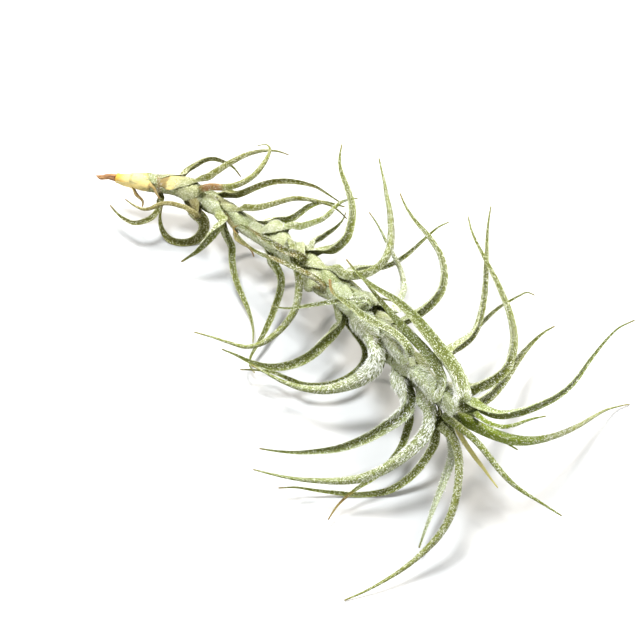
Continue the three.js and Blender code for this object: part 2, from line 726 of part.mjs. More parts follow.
const apart = new THREE.Vector3();
function shoveApart([a, b]) {
  apart.subVectors(b.point, a.point);
  const distance = apart.length();
  apart.divideScalar(distance || 1);
  const lack = reach(a, apart) + reach(b, apart) + clearGap + bendingGap - distance;
  if (lack <= 0) return;
  const sign = Math.sign(apart.dot(towardsEye)) || 1;
  const aShare = lack * (a.free / (a.free + b.free));
  const bShare = lack - aShare;
  a.shove.addScaledVector(towardsEye, -sign * aShare * 0.6).addScaledVector(apart, -aShare * 0.2);
  b.shove.addScaledVector(towardsEye, sign * bShare * 0.6).addScaledVector(apart, bShare * 0.2);
}

const upwards = new THREE.Vector3(0, 0, 1);
function shoveOffStemAndTable(sample) {
  const frame = nearestFrame(sample.point);
  const off = sample.point.clone().sub(frame.point);
  const along = off.dot(frame.tangent);
  off.addScaledVector(frame.tangent, -along);
  const radius = off.length();
  off.normalize();
  if (Math.abs(along) < 4 && radius < 16) {
    const turn = Math.atan2(off.dot(frame.side), off.dot(frame.front));
    const row = clamp(Math.round((frame.station + along) / mapStep), 0, mapRows - 1);
    let built = 0;
    for (let column = 0; column < turnSteps; column += 1) {
      if (turnApart(turnOf(column), turn) < degrees(28)) built = Math.max(built, builtUp[row][column]);
    }
    const lack = built + clearGap + reach(sample, off) - radius;
    if (lack > 0) sample.shove.addScaledVector(off, lack * 0.8);
  }
  const low = reach(sample, upwards) - 0.25 - sample.point.z;
  if (low > 0) sample.shove.addScaledVector(towardsEye, (low / Math.sin(elevation)) * 0.8);
}

let nearPairs = [];
for (let pass = 0; pass < bendingPasses; pass += 1) {
  for (const leaf of leaves) {
    const frames = carriedFrames(leaf.line, leaf.firstOut, leaf.firstTangent);
    leaf.samples.forEach((sample, k) => {
      sample.out = frames[k].out;
      sample.across = frames[k].across;
    });
  }
  if (pass % nearPairsEvery === 0) nearPairs = findNearPairs();
  for (const sample of samples) sample.shove.set(0, 0, 0);
  nearPairs.forEach(shoveApart);
  for (const sample of samples) {
    if (sample.free === 0) continue;
    shoveOffStemAndTable(sample);
    sample.point.addScaledVector(sample.shove.clampLength(0, 1), sample.free);
  }
  // What the shoves moved is spread along each blade, so that it stays a smooth curve
  for (const leaf of leaves) {
    const moved = leaf.line.map((point, k) => point.clone().sub(leaf.chosen[k]));
    leaf.samples.forEach((sample, k) => {
      if (k === 0 || k === moved.length - 1) return;
      const even = moved[k - 1].clone().add(moved[k + 1]).multiplyScalar(0.5).sub(moved[k]);
      sample.point.addScaledVector(even, sample.free * 0.35);
      const [before, after] = [leaf.line[k - 1], leaf.line[k + 1]];
      const turned = sample.point.clone().sub(before).angleTo(after.clone().sub(sample.point));
      const tooSharp = clamp(turned - blade.sharpestTurn, 0, 0.5);
      const between = before.clone().add(after).multiplyScalar(0.5);
      sample.point.lerp(between, tooSharp * Math.max(sample.free, 0.3));
    });
  }
}

// A closed skin through rings of equal numbers of vertices, with both ends closed
function skin(rings) {
  const count = rings[0].length;
  const positions = rings.flat().flatMap((point) => point.toArray());
  const faces = [];
  for (let k = 0; k + 1 < rings.length; k += 1) {
    for (let i = 0; i < count; i += 1) {
      const [a, b] = [k * count + i, k * count + ((i + 1) % count)];
      if (i < count / 2) faces.push(a, a + count, b, b, a + count, b + count);
      else faces.push(a, a + count, b + count, a, b + count, b);
    }
  }
  // Each end is closed straight across, from the outer face to the inner one
  const end = (rings.length - 1) * count;
  for (let i = 0; i + 1 < count / 2; i += 1) {
    const [a, b, c, d] = [i, i + 1, count - 2 - i, count - 1 - i];
    faces.push(a, b, c, a, c, d);
    faces.push(end + a, end + c, end + b, end + a, end + d, end + c);
  }
  const geometry = new THREE.BufferGeometry();
  geometry.setAttribute("position", new THREE.Float32BufferAttribute(positions, 3));
  geometry.setIndex(faces);
  geometry.computeVertexNormals();
  return geometry;
}

function sheathRing(leaf, k) {
  const share = k / (sheathRings - 1);
  const half = wrapAt(leaf, share);
  const inner = [];
  const outer = [];
  for (let i = 0; i < acrossPoints; i += 1) {
    const turn = leaf.turn + lerp(-half, half, i / (acrossPoints - 1));
    const inside = leaf.radii[k][i];
    inner.push(aroundStem(leaf.stations[k], inside / facetLoss(leaf, share), turn));
    outer.push(aroundStem(leaf.stations[k], (inside + sheath.thickness) / facetLoss(leaf, share), turn));
  }
  return [...outer, ...inner.reverse()];
}

function bladeRing(leaf, frame, share) {
  const width = bladeWidth(leaf, share);
  const channel = blade.channel * width * (1 - 0.5 * share);
  const thickness = bladeThickness(share);
  const place = (sideways, face) => {
    const thin = lerp(thickness, Math.min(blade.marginThickness, thickness), sideways * sideways);
    return frame.point
      .clone()
      .addScaledVector(frame.across, (sideways * width) / 2)
      .addScaledVector(frame.out, channel * (0.5 - sideways * sideways) + (face * thin) / 2);
  };
  const sides = Array.from({ length: acrossPoints }, (_, i) => lerp(-1, 1, i / (acrossPoints - 1)));
  const outer = sides.map((sideways) => place(sideways, 1));
  const inner = sides.map((sideways) => place(sideways, -1));
  return [...outer, ...inner.reverse()];
}

// Rings stand closer where the blade turns sharply
function ringPlaces(leaf, frames) {
  const wanted = Math.round(leaf.length / bladeRings.spacing) + bladeRings.extra;
  const count = clamp(wanted, bladeRings.fewest, bladeRings.most);
  const load = [0];
  for (let k = 1; k < frames.length; k += 1) {
    const turned = frames[k].tangent.angleTo(frames[k - 1].tangent);
    const length = frames[k].point.distanceTo(frames[k - 1].point);
    load.push(load[k - 1] + length + bladeRings.atBends * turned);
  }
  const places = [];
  for (let i = 1; i <= count; i += 1) {
    const reached = (load.at(-1) * i) / count;
    const k = Math.max(load.findIndex((value) => value >= reached - 1e-6), 1);
    const place = (k - 1 + (reached - load[k - 1]) / (load[k] - load[k - 1])) / (frames.length - 1);
    const gap = places.length ? bladeRings.gap : bladeRings.firstGap;
    if (i === count || (place - (places.at(-1) ?? 0)) * leaf.length > gap) places.push(place);
  }
  return places;
}

function leafMesh(leaf, number) {
  const line = curveThrough(leaf.line);
  const fine = carriedFrames(line.getSpacedPoints(fineSteps), leaf.firstOut, leaf.firstTangent);
  const rings = leaf.stations.map((_, k) => sheathRing(leaf, k));
  for (const place of ringPlaces(leaf, fine)) {
    rings.push(bladeRing(leaf, fine[Math.round(clamp(place, 0, 1) * fineSteps)], place));
  }
  for (const point of rings.flat()) point.z = Math.max(point.z, 0);
  const mesh = new THREE.Mesh(skin(rings), finish(colours[leaf.kind]));
  mesh.name = `leaf_${String(number + 1).padStart(2, "0")}`;
  return mesh;
}

function stemMesh() {
  const rings = [];
  for (let k = 0; k <= stemSteps; k += 1) {
    const station = (k / stemSteps) * (axisLength - 1);
    const ring = [];
    for (let i = 0; i < roundStem; i += 1) {
      ring.push(aroundStem(station, coreRadius(station), (2 * Math.PI * i) / roundStem));
    }
    rings.push(ring);
  }
  const mesh = new THREE.Mesh(skin(rings), finish(colours.stem));
  mesh.name = "stem";
  return mesh;
}

function rootMesh() {
  const route = [[116, 177.9, 15], [108, 176.5, 14.6], [102, 177.5, 14.2], [96, 175.5, 14]].map(seen);
  const line = curveThrough(route);
  const frames = carriedFrames(line.getSpacedPoints(rootSteps), viewUp, line.getTangentAt(0));
  const rings = frames.map((frame, k) => {
    const radius = lerp(rootRadius.base, rootRadius.tip, k / rootSteps);
    return Array.from({ length: roundRoot }, (_, i) => {
      const turn = (2 * Math.PI * i) / roundRoot;
      const ring = frame.point.clone().addScaledVector(frame.out, radius * Math.cos(turn));
      return ring.addScaledVector(frame.across, radius * Math.sin(turn));
    });
  });
  const mesh = new THREE.Mesh(skin(rings), finish(colours.root));
  mesh.name = "root";
  return mesh;
}

const plant = new THREE.Group();
leaves.forEach((leaf, number) => plant.add(leafMesh(leaf, number)));
plant.add(stemMesh(), rootMesh());

// The origin goes under the middle of the plant's box
const box = new THREE.Box3().setFromObject(plant, true);
const centre = box.getCenter(new THREE.Vector3());
plant.traverse((part) => {
  if (part.isMesh) part.geometry.translate(-centre.x, -centre.y, 0);
});

export default plant;
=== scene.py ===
import json
import math

import bmesh
import bpy
import numpy as np
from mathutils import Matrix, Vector
from mathutils.bvhtree import BVHTree


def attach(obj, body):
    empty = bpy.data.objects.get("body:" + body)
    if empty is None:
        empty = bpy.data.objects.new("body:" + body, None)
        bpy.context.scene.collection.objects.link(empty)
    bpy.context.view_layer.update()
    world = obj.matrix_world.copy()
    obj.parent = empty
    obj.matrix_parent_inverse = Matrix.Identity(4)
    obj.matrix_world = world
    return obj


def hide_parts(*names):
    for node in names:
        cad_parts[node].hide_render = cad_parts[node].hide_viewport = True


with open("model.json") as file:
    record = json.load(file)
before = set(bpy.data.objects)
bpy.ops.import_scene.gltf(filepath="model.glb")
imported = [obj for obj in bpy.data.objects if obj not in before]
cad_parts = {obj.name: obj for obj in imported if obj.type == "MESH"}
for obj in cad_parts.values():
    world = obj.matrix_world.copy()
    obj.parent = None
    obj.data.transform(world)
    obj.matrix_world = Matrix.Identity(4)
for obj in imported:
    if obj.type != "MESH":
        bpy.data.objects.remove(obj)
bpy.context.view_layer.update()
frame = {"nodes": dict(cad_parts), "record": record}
slotOf = {part["node"]: part["material_slot"] for part in frame["record"]["subparts"]}
leafNodes = sorted(name for name in frame["nodes"] if name.startswith("leaf_"))
mm = 0.001
print("frame loaded:", len(leafNodes), "leaves")


# Camera: 50 degrees above the table, as the photograph was taken
cameraView = {
    "target": (-12.69, 8.39, 20.0),  # mm, what the middle of the picture shows
    "elevation": 50.0,
    "distance": 592.0,  # mm
    "lens": 99.9,
    "sensor": 36.0,
    "clip": (0.01, 20),  # m
}


def buildCamera():
    look = bpy.data.cameras.new("camera")
    look.lens = cameraView["lens"]
    look.sensor_width = cameraView["sensor"]
    look.clip_start, look.clip_end = cameraView["clip"]
    camera = bpy.data.objects.new("camera", look)
    bpy.context.scene.collection.objects.link(camera)
    tilt = math.radians(cameraView["elevation"])
    back = Vector((0, -math.cos(tilt), math.sin(tilt))) * cameraView["distance"] * mm
    camera.location = Vector(cameraView["target"]) * mm + back
    camera.rotation_euler = (math.pi / 2 - tilt, 0, 0)
    bpy.context.scene.camera = camera


buildCamera()


# A material and its shader, with what is the same all over it set on the shader's own sockets
def newMaterial(name, fixed):
    material = bpy.data.materials.new(name)
    material.use_nodes = True
    shader = material.node_tree.nodes["Principled BSDF"]
    for key, value in fixed.items():
        shader.inputs[key].default_value = value
    return material, shader


# Light: a bright white sweep under a pale sky, a cool lamp overhead and a warm one further back
studio = {
    "floorSize": 8.0,
    "floorDrop": 0.0001,  # m under the plant
    "floor": {"Base Color": (0.575, 0.575, 0.575, 1), "Roughness": 0.9, "Specular IOR Level": 0.1},
    "skyColour": (1, 0.985, 0.95, 1),
    "skyStrength": 0.52,
    "lamps": {
        "coolLamp": {"place": (-0.35, 0.3, 1.95), "size": 0.5, "power": 53.5, "colour": (0.93, 0.97, 1.0)},
        "warmLamp": {"place": (0.25, 1.25, 1.6), "size": 0.42, "power": 43.5, "colour": (1.0, 0.95, 0.88)},
        "frontLamp": {"place": (0.3, -1.5, 1.5), "size": 0.9, "power": 10.3, "colour": (1.0, 0.99, 0.97)},
    },
}


def buildStudio():
    bpy.ops.object.select_all(action="DESELECT")
    bpy.ops.mesh.primitive_plane_add(size=studio["floorSize"], location=(0, 0, -studio["floorDrop"]))
    floor = bpy.context.object
    floor.name = "floor"
    bpy.ops.object.transform_apply(location=True, rotation=False, scale=False)
    floor.data.materials.append(newMaterial("whitePaper", studio["floor"])[0])

    world = bpy.data.worlds.new("paleRoom")
    world.use_nodes = True
    sky = world.node_tree.nodes["Background"]
    sky.inputs["Color"].default_value = studio["skyColour"]
    sky.inputs["Strength"].default_value = studio["skyStrength"]
    bpy.context.scene.world = world

    for name, lamp in studio["lamps"].items():
        bpy.ops.object.light_add(type="AREA", location=lamp["place"])
        light = bpy.context.object
        light.name = name
        light.data.energy = lamp["power"]
        light.data.size = lamp["size"]
        light.data.color = lamp["colour"]
        light.rotation_euler = (-Vector(lamp["place"])).to_track_quat("-Z", "Y").to_euler()
    bpy.context.scene.view_settings.view_transform = "Standard"


buildStudio()
print("camera, floor and light ready")


# How the CAD nodes are read
cadRings = {
    "samePlace": 2e-6,  # m, within which two vertices are one
    "acrossLeaf": 5,  # vertices across each face of a leaf
    "aroundStem": 12,
    "aroundRoot": 8,
}
acrossLeaf = cadRings["acrossLeaf"]
aroundLeaf = 2 * acrossLeaf


# A merged copy of a CAD node: its vertices in millimetres, who is joined to whom, and its triangles
def mergedCopy(node):
    cad = bmesh.new()
    cad.from_mesh(frame["nodes"][node].data)
    bmesh.ops.remove_doubles(cad, verts=cad.verts, dist=cadRings["samePlace"])
    cad.verts.index_update()
    places = np.array([v.co[:] for v in cad.verts]) / mm
    neighbours = [{e.other_vert(v).index for e in v.link_edges} for v in cad.verts]
    faces = [[v.index for v in face.verts] for face in cad.faces]
    cad.free()
    return places, neighbours, faces


# The node's vertices sorted into rings of so many, from its foot to its tip
def layersOf(places, neighbours, count):
    apart = np.linalg.norm(places[:, None] - places[None], axis=2)
    for start in np.argsort(np.sort(apart, axis=1)[:, count - 1]):
        layers = [set(int(i) for i in np.argsort(apart[start])[:count])]
        met = set(layers[0])
        while True:
            further = {n for v in layers[-1] for n in neighbours[v]} - met
            if not further:
                break
            layers.append(further)
            met |= further
        if all(len(layer) == count for layer in layers):
            break
    layers.reverse()
    return layers


# A leaf's rings in order: across the outer face, then back across the inner one. The first vertex of a ring
# is the one with a single edge to the next ring.
def ringsOf(node):
    places, neighbours, faces = mergedCopy(node)
    layers = layersOf(places, neighbours, aroundLeaf)
    ringOf = {v: k for k, layer in enumerate(layers) for v in layer}
    following = {}
    for corners in faces:
        levels = [ringOf[v] for v in corners]
        if max(levels) == min(levels):
            continue
        odd = next(i for i in range(3) if levels.count(levels[i]) == 1)
        before, after = corners[odd - 1], corners[(odd + 1) % 3]
        if levels[odd] == max(levels):
            following[before] = after
        else:
            following[after] = before
    rings = []
    for k, layer in enumerate(layers):
        if k + 1 < len(layers):
            ring = [next(v for v in layer if len(neighbours[v] & layers[k + 1]) == 1)]
        else:
            ring = [next(iter(neighbours[rings[-1][0]] & layer))]
        while len(ring) < aroundLeaf:
            ring.append(following[ring[-1]])
        rings.append(ring)
    return places[np.array(rings)]


# The middle line and the radius of a round node
def axisOf(node, count):
    places, neighbours, _ = mergedCopy(node)
    rings = [places[sorted(layer)] for layer in layersOf(places, neighbours, count)]
    middle = np.array([ring.mean(axis=0) for ring in rings])
    radius = np.array([np.linalg.norm(ring - m, axis=1).mean() for ring, m in zip(rings, middle)])
    return middle, radius


# A smooth run through the rings, at the wanted distances along them
def alongRings(rings, stations, wanted):
    gaps = np.diff(stations)
    slopes = np.diff(rings, axis=0) / gaps[:, None, None]
    bends = np.empty_like(rings)
    bends[0], bends[-1] = slopes[0], slopes[-1]
    low, high = gaps[:-1, None, None], gaps[1:, None, None]
    bends[1:-1] = (slopes[:-1] * high + slopes[1:] * low) / (low + high)
    k = np.clip(np.searchsorted(stations, wanted, side="right") - 1, 0, len(gaps) - 1)
    gap = gaps[k]
    t = ((wanted - stations[k]) / gap)[:, None, None]
    gap = gap[:, None, None]
    return (
        rings[k] * (2 * t**3 - 3 * t**2 + 1)
        + bends[k] * gap * (t**3 - 2 * t**2 + t)
        + rings[k + 1] * (3 * t**2 - 2 * t**3)
        + bends[k + 1] * gap * (t**3 - t**2)
    )


def lengthsAlong(points):
    return np.concatenate([[0], np.cumsum(np.linalg.norm(np.diff(points, axis=0), axis=1))])


def smoothStep(x, low, high):
    t = np.clip((x - low) / (high - low), 0, 1)
    return t * t * (3 - 2 * t)


# Rises from 0 to 1 over the first pair, and falls back over the second
def hump(x, rising, falling):
    return smoothStep(x, *rising) * (1 - smoothStep(x, *falling))


# The value at x, from pairs of a place and its value
def valueAt(x, pairs):
    return np.interp(x, *zip(*pairs))


def unit(vectors):
    return vectors / np.maximum(np.linalg.norm(vectors, axis=-1, keepdims=True), 1e-9)


# The stem's middle line, finely, with its direction and thickness at each place. Its foot is a little thicker
# and higher than the CAD stem's.
stemCourse = {
    "steps": 240,
    "footRises": (2, 8),  # mm along the stem
    "footEnds": (26, 40),
    "footThicker": 0.6,  # mm
    "footHigher": 0.9,
}
stemMiddle, stemRadius = axisOf("stem", cadRings["aroundStem"])
if stemMiddle[0, 0] > stemMiddle[-1, 0]:
    stemMiddle, stemRadius = stemMiddle[::-1], stemRadius[::-1]
stemStations = lengthsAlong(stemMiddle)
stemWanted = np.linspace(0, stemStations[-1], stemCourse["steps"])
stemLine = alongRings(stemMiddle[:, None], stemStations, stemWanted)[:, 0]
stemAhead = unit(np.gradient(stemLine, axis=0))
footSwelling = hump(stemWanted, stemCourse["footRises"], stemCourse["footEnds"])
stemThick = np.interp(stemWanted, stemStations, stemRadius) + stemCourse["footThicker"] * footSwelling
stemLine[:, 2] += stemCourse["footHigher"] * footSwelling


# What lies straight out from the stem's line to each point, and the stem's direction and radius there
def outFromStem(points):
    near = np.linalg.norm(points[:, None] - stemLine[None], axis=2).argmin(axis=1)
    ahead = stemAhead[near]
    offset = points - stemLine[near]
    return offset - (offset * ahead).sum(axis=1, keepdims=True) * ahead, ahead, stemThick[near]


def addValues(mesh, values):
    for key, value in values.items():
        if value.ndim == 2:
            attribute = mesh.attributes.new(key, "FLOAT_VECTOR", "POINT")
            attribute.data.foreach_set("vector", value.astype(np.float32).ravel())
        else:
            attribute = mesh.attributes.new(key, "FLOAT", "POINT")
            attribute.data.foreach_set("value", value.astype(np.float32))


def readValue(mesh, key):
    values = np.empty(len(mesh.vertices), np.float32)
    mesh.attributes[key].data.foreach_get("value", values)
    return values


def readVectors(mesh, key):
    values = np.empty(len(mesh.vertices) * 3, np.float32)
    mesh.vertices.foreach_get(key, values)
    return values.reshape(-1, 3)


def readPlaces(mesh):
    return readVectors(mesh, "co") / mm


def readTriangles(mesh):
    mesh.calc_loop_triangles()
    corners = np.empty(len(mesh.loop_triangles) * 3, np.int32)
    mesh.loop_triangles.foreach_get("vertices", corners)
    return corners.reshape(-1, 3)


# How far each vertex faces up, from 0 for straight down to 1. It paints shade on faces that look down and
# paler scales on faces that look up.
skywardEnds = (-0.9, 0.3)  # the normal's height at 0 and at 1


def skywardOf(mesh):
    return smoothStep(readVectors(mesh, "normal")[:, 2], *skywardEnds)


# How closely each vertex is hemmed in by what lies around it, from 0 in the open to 1 in a deep crease. It
# paints shade into the creases of the skins and their scales.
shelterLook = {
    "rays": 12,
    "reach": 9.0,  # mm
    "standOff": 0.25,  # mm from the skin to where the rays start
    "turn": 2.4,  # radians from one ray to the next
    "spread": 0.95,  # how far the last ray leans over, as a sine
    "falloff": 0.7,
    "upright": 0.9,  # a normal steeper than this takes another helper
}


def shelterOf(mesh, tree):
    look = shelterLook
    normals = readVectors(mesh, "normal")
    starts = (readPlaces(mesh) + normals * look["standOff"]).tolist()
    helper = np.where(np.abs(normals[:, 2:]) < look["upright"], (0, 0, 1), (1, 0, 0))
    side = unit(np.cross(normals, helper))
    over = np.cross(normals, side)
    shelter = np.zeros(len(normals))
    for n in range(look["rays"]):
        turn = n * look["turn"]
        lean = math.sqrt((n + 0.5) / look["rays"]) * look["spread"]
        leaning = (side * math.cos(turn) + over * math.sin(turn)) * lean
        rays = (normals * math.sqrt(1 - lean**2) + leaning).tolist()
        gaps = [tree.ray_cast(start, ray, look["reach"])[3] for start, ray in zip(starts, rays)]
        shelter += [0 if gap is None else 1 - (gap / look["reach"]) ** look["falloff"] for gap in gaps]
    return shelter / look["rays"]


# One search tree over several meshes, of the triangles that wanted() keeps
def treeOver(meshes, wanted=None):
    places, corners, count = [], [], 0
    for mesh in meshes:
        triangles = readTriangles(mesh)
        if wanted:
            triangles = triangles[wanted(mesh, triangles)]
        corners += (triangles + count).tolist()
        places += readPlaces(mesh).tolist()
        count += len(mesh.vertices)
    return BVHTree.FromPolygons(places, corners)


def linked(name, mesh):
    piece = bpy.data.objects.new(name, mesh)
    bpy.context.scene.collection.objects.link(piece)
    bpy.ops.object.select_all(action="DESELECT")
    piece.select_set(True)
    bpy.context.view_layer.objects.active = piece
    return piece


def smoothed(piece):
    smoothing = piece.modifiers.new("smoothing", "SUBSURF")
    smoothing.levels = 1
    smoothing.render_levels = 1
    bpy.ops.object.modifier_apply(modifier="smoothing")
    bpy.ops.object.shade_smooth()


def joined(main, other):
    bpy.ops.object.select_all(action="DESELECT")
    other.select_set(True)
    main.select_set(True)
    bpy.context.view_layer.objects.active = main
    bpy.ops.object.join()


# A closed tube of quads through rings of points, with each end filled across in strips
def tubeMesh(name, rings, values):
    count = rings.shape[1]
    k, i = np.meshgrid(np.arange(len(rings) - 1), np.arange(count), indexing="ij")
    a = (k * count + i).ravel()
    b = (k * count + (i + 1) % count).ravel()
    faces = np.stack([a, a + count, b + count, b], axis=1).tolist()
    end = (len(rings) - 1) * count
    for i in range(count // 2 - 1):
        strip = [i, i + 1, count - 2 - i, count - 1 - i]
        faces.append(strip)
        faces.append([end + v for v in reversed(strip)])
    mesh = bpy.data.meshes.new(name)
    mesh.from_pydata((rings.reshape(-1, 3) * mm).tolist(), [], faces)
    addValues(mesh, values)
    return mesh


# Directions straight out from a line, so many around it at each of its places
def spokesOf(ahead, around):
    side = unit(np.cross((0, 0, 1), ahead))
    over = np.cross(ahead, side)
    angle = np.linspace(0, 2 * np.pi, around, endpoint=False)
    away = side[:, None] * np.cos(angle)[None, :, None] + over[:, None] * np.sin(angle)[None, :, None]
    return angle, away


# A round piece from rings on such spokes, which are turned about so that its faces point outwards
def roundPiece(name, skin, values):
    rows, count = skin.shape[:2]
    turned = {}
    for key, value in values.items():
        value = value.reshape(rows, count, -1)[:, ::-1]
        turned[key] = value.reshape((-1, 3) if value.shape[2] == 3 else -1)
    return linked(name, tubeMesh(name, skin[:, ::-1], turned))


# Leaves: the finer skin. Shares are of the blade's length, from 0 where it leaves the sheath to 1 at the tip.
leafShape = {
    "sheathRings": 4,  # rings of the CAD leaf that clasp the stem
    "ringSpacing": 1.45,  # mm between the rings of the cage
    "fewestSteps": 8,
    "widening": 1.06,  # what smoothing takes away
    "thinning": (0.45, 0.85, 0.95, 0.85, 0.45),  # thickness across, against the CAD leaf's
    "thick": ((-0.05, 1.0), (0.06, 2.2), (0.3, 1.5), (0.55, 1.0)),  # and along it, by share
    "tipWidth": (0.62, 0.55),  # of the CAD tip's, and the share where narrowing starts
    "tipThickness": (0.5, 0.5),
    "channelStart": (-0.02, 0.1),
    "channelEnd": (0.6, 0.6),  # how much of its depth is lost at the tip, and from what share on
    "fullChannel": 0.12,  # depth against width that counts as all channel
    "wave": 0.04,  # mm, unevenness of the surface
    "clearance": 0.4,  # mm from the stem to a sheath that has come all the way down
    "claspMost": 3.0,  # mm that a sheath may come closer
    "claspFade": 9.0,  # mm of blade over which that shift fades out
    "tuckedRings": 3,  # added at the foot, where the sheath runs in under the one below
    "tuckedSpacing": 1.2,  # mm
    "tuckedCurve": 1.4,
    "footDepth": (0.15, 0.5),  # mm inside the stem, of the outer and of the inner face
    "lowest": 0.15,  # mm above the table
    "feltingAt": (-0.1, 0.0, 0.15, 0.5, 1.0),  # shares that a kind's felting is given for
    "bladeEdges": ((0, 0.1), (0, 0.15)),  # softness of where a note on the blade starts and ends
    "rustEdges": ((-0.03, 0.02), (-0.04, 0.02)),
    "fluffEdges": ((-0.06, 0.06), (-0.08, 0.08)),
    "tip": (0.9, 1.05),
    "tipWithering": 0.6,
    "brownFootEnds": (0.8, 2.2),  # mm
    "freshness": (-0.15, 0.25),  # from which each leaf draws its own
    "darkness": (0, 0.3),
}
beforeFoot, beyondTip = (-9, -8), (2, 3)  # where nothing is left to change

# How each kind of leaf differs. channel is its depth against the leaf's width, withering goes for the sheath
# and the blade, and clasp is how much of its distance from the stem a sheath loses, at its middle and at its
# margins.
leafKinds = {
    "leaf_green": {
        "channel": 0.2, "felting": (0.9, 0.66, 0.36, 0.24, 0.1),
        "withering": (0, 0), "clasp": (0.6, 0.9),
    },
    "leaf_felted": {
        "channel": 0.28, "felting": (0.85, 0.82, 0.72, 0.45, 0.15),
        "withering": (0, 0), "clasp": (0, 0.3),
    },
    "leaf_old": {
        "channel": 0.16, "felting": (0.8, 0.55, 0.3, 0.2, 0.08),
        "withering": (0.02, 0.12), "clasp": (0.6, 0.9),
    },
    "leaf_dead": {
        "channel": 0.06, "felting": (0.6, 0.35, 0.2, 0.12, 0.05),
        "withering": (0.2, 0.6), "clasp": (0.6, 0.9),
    },
}

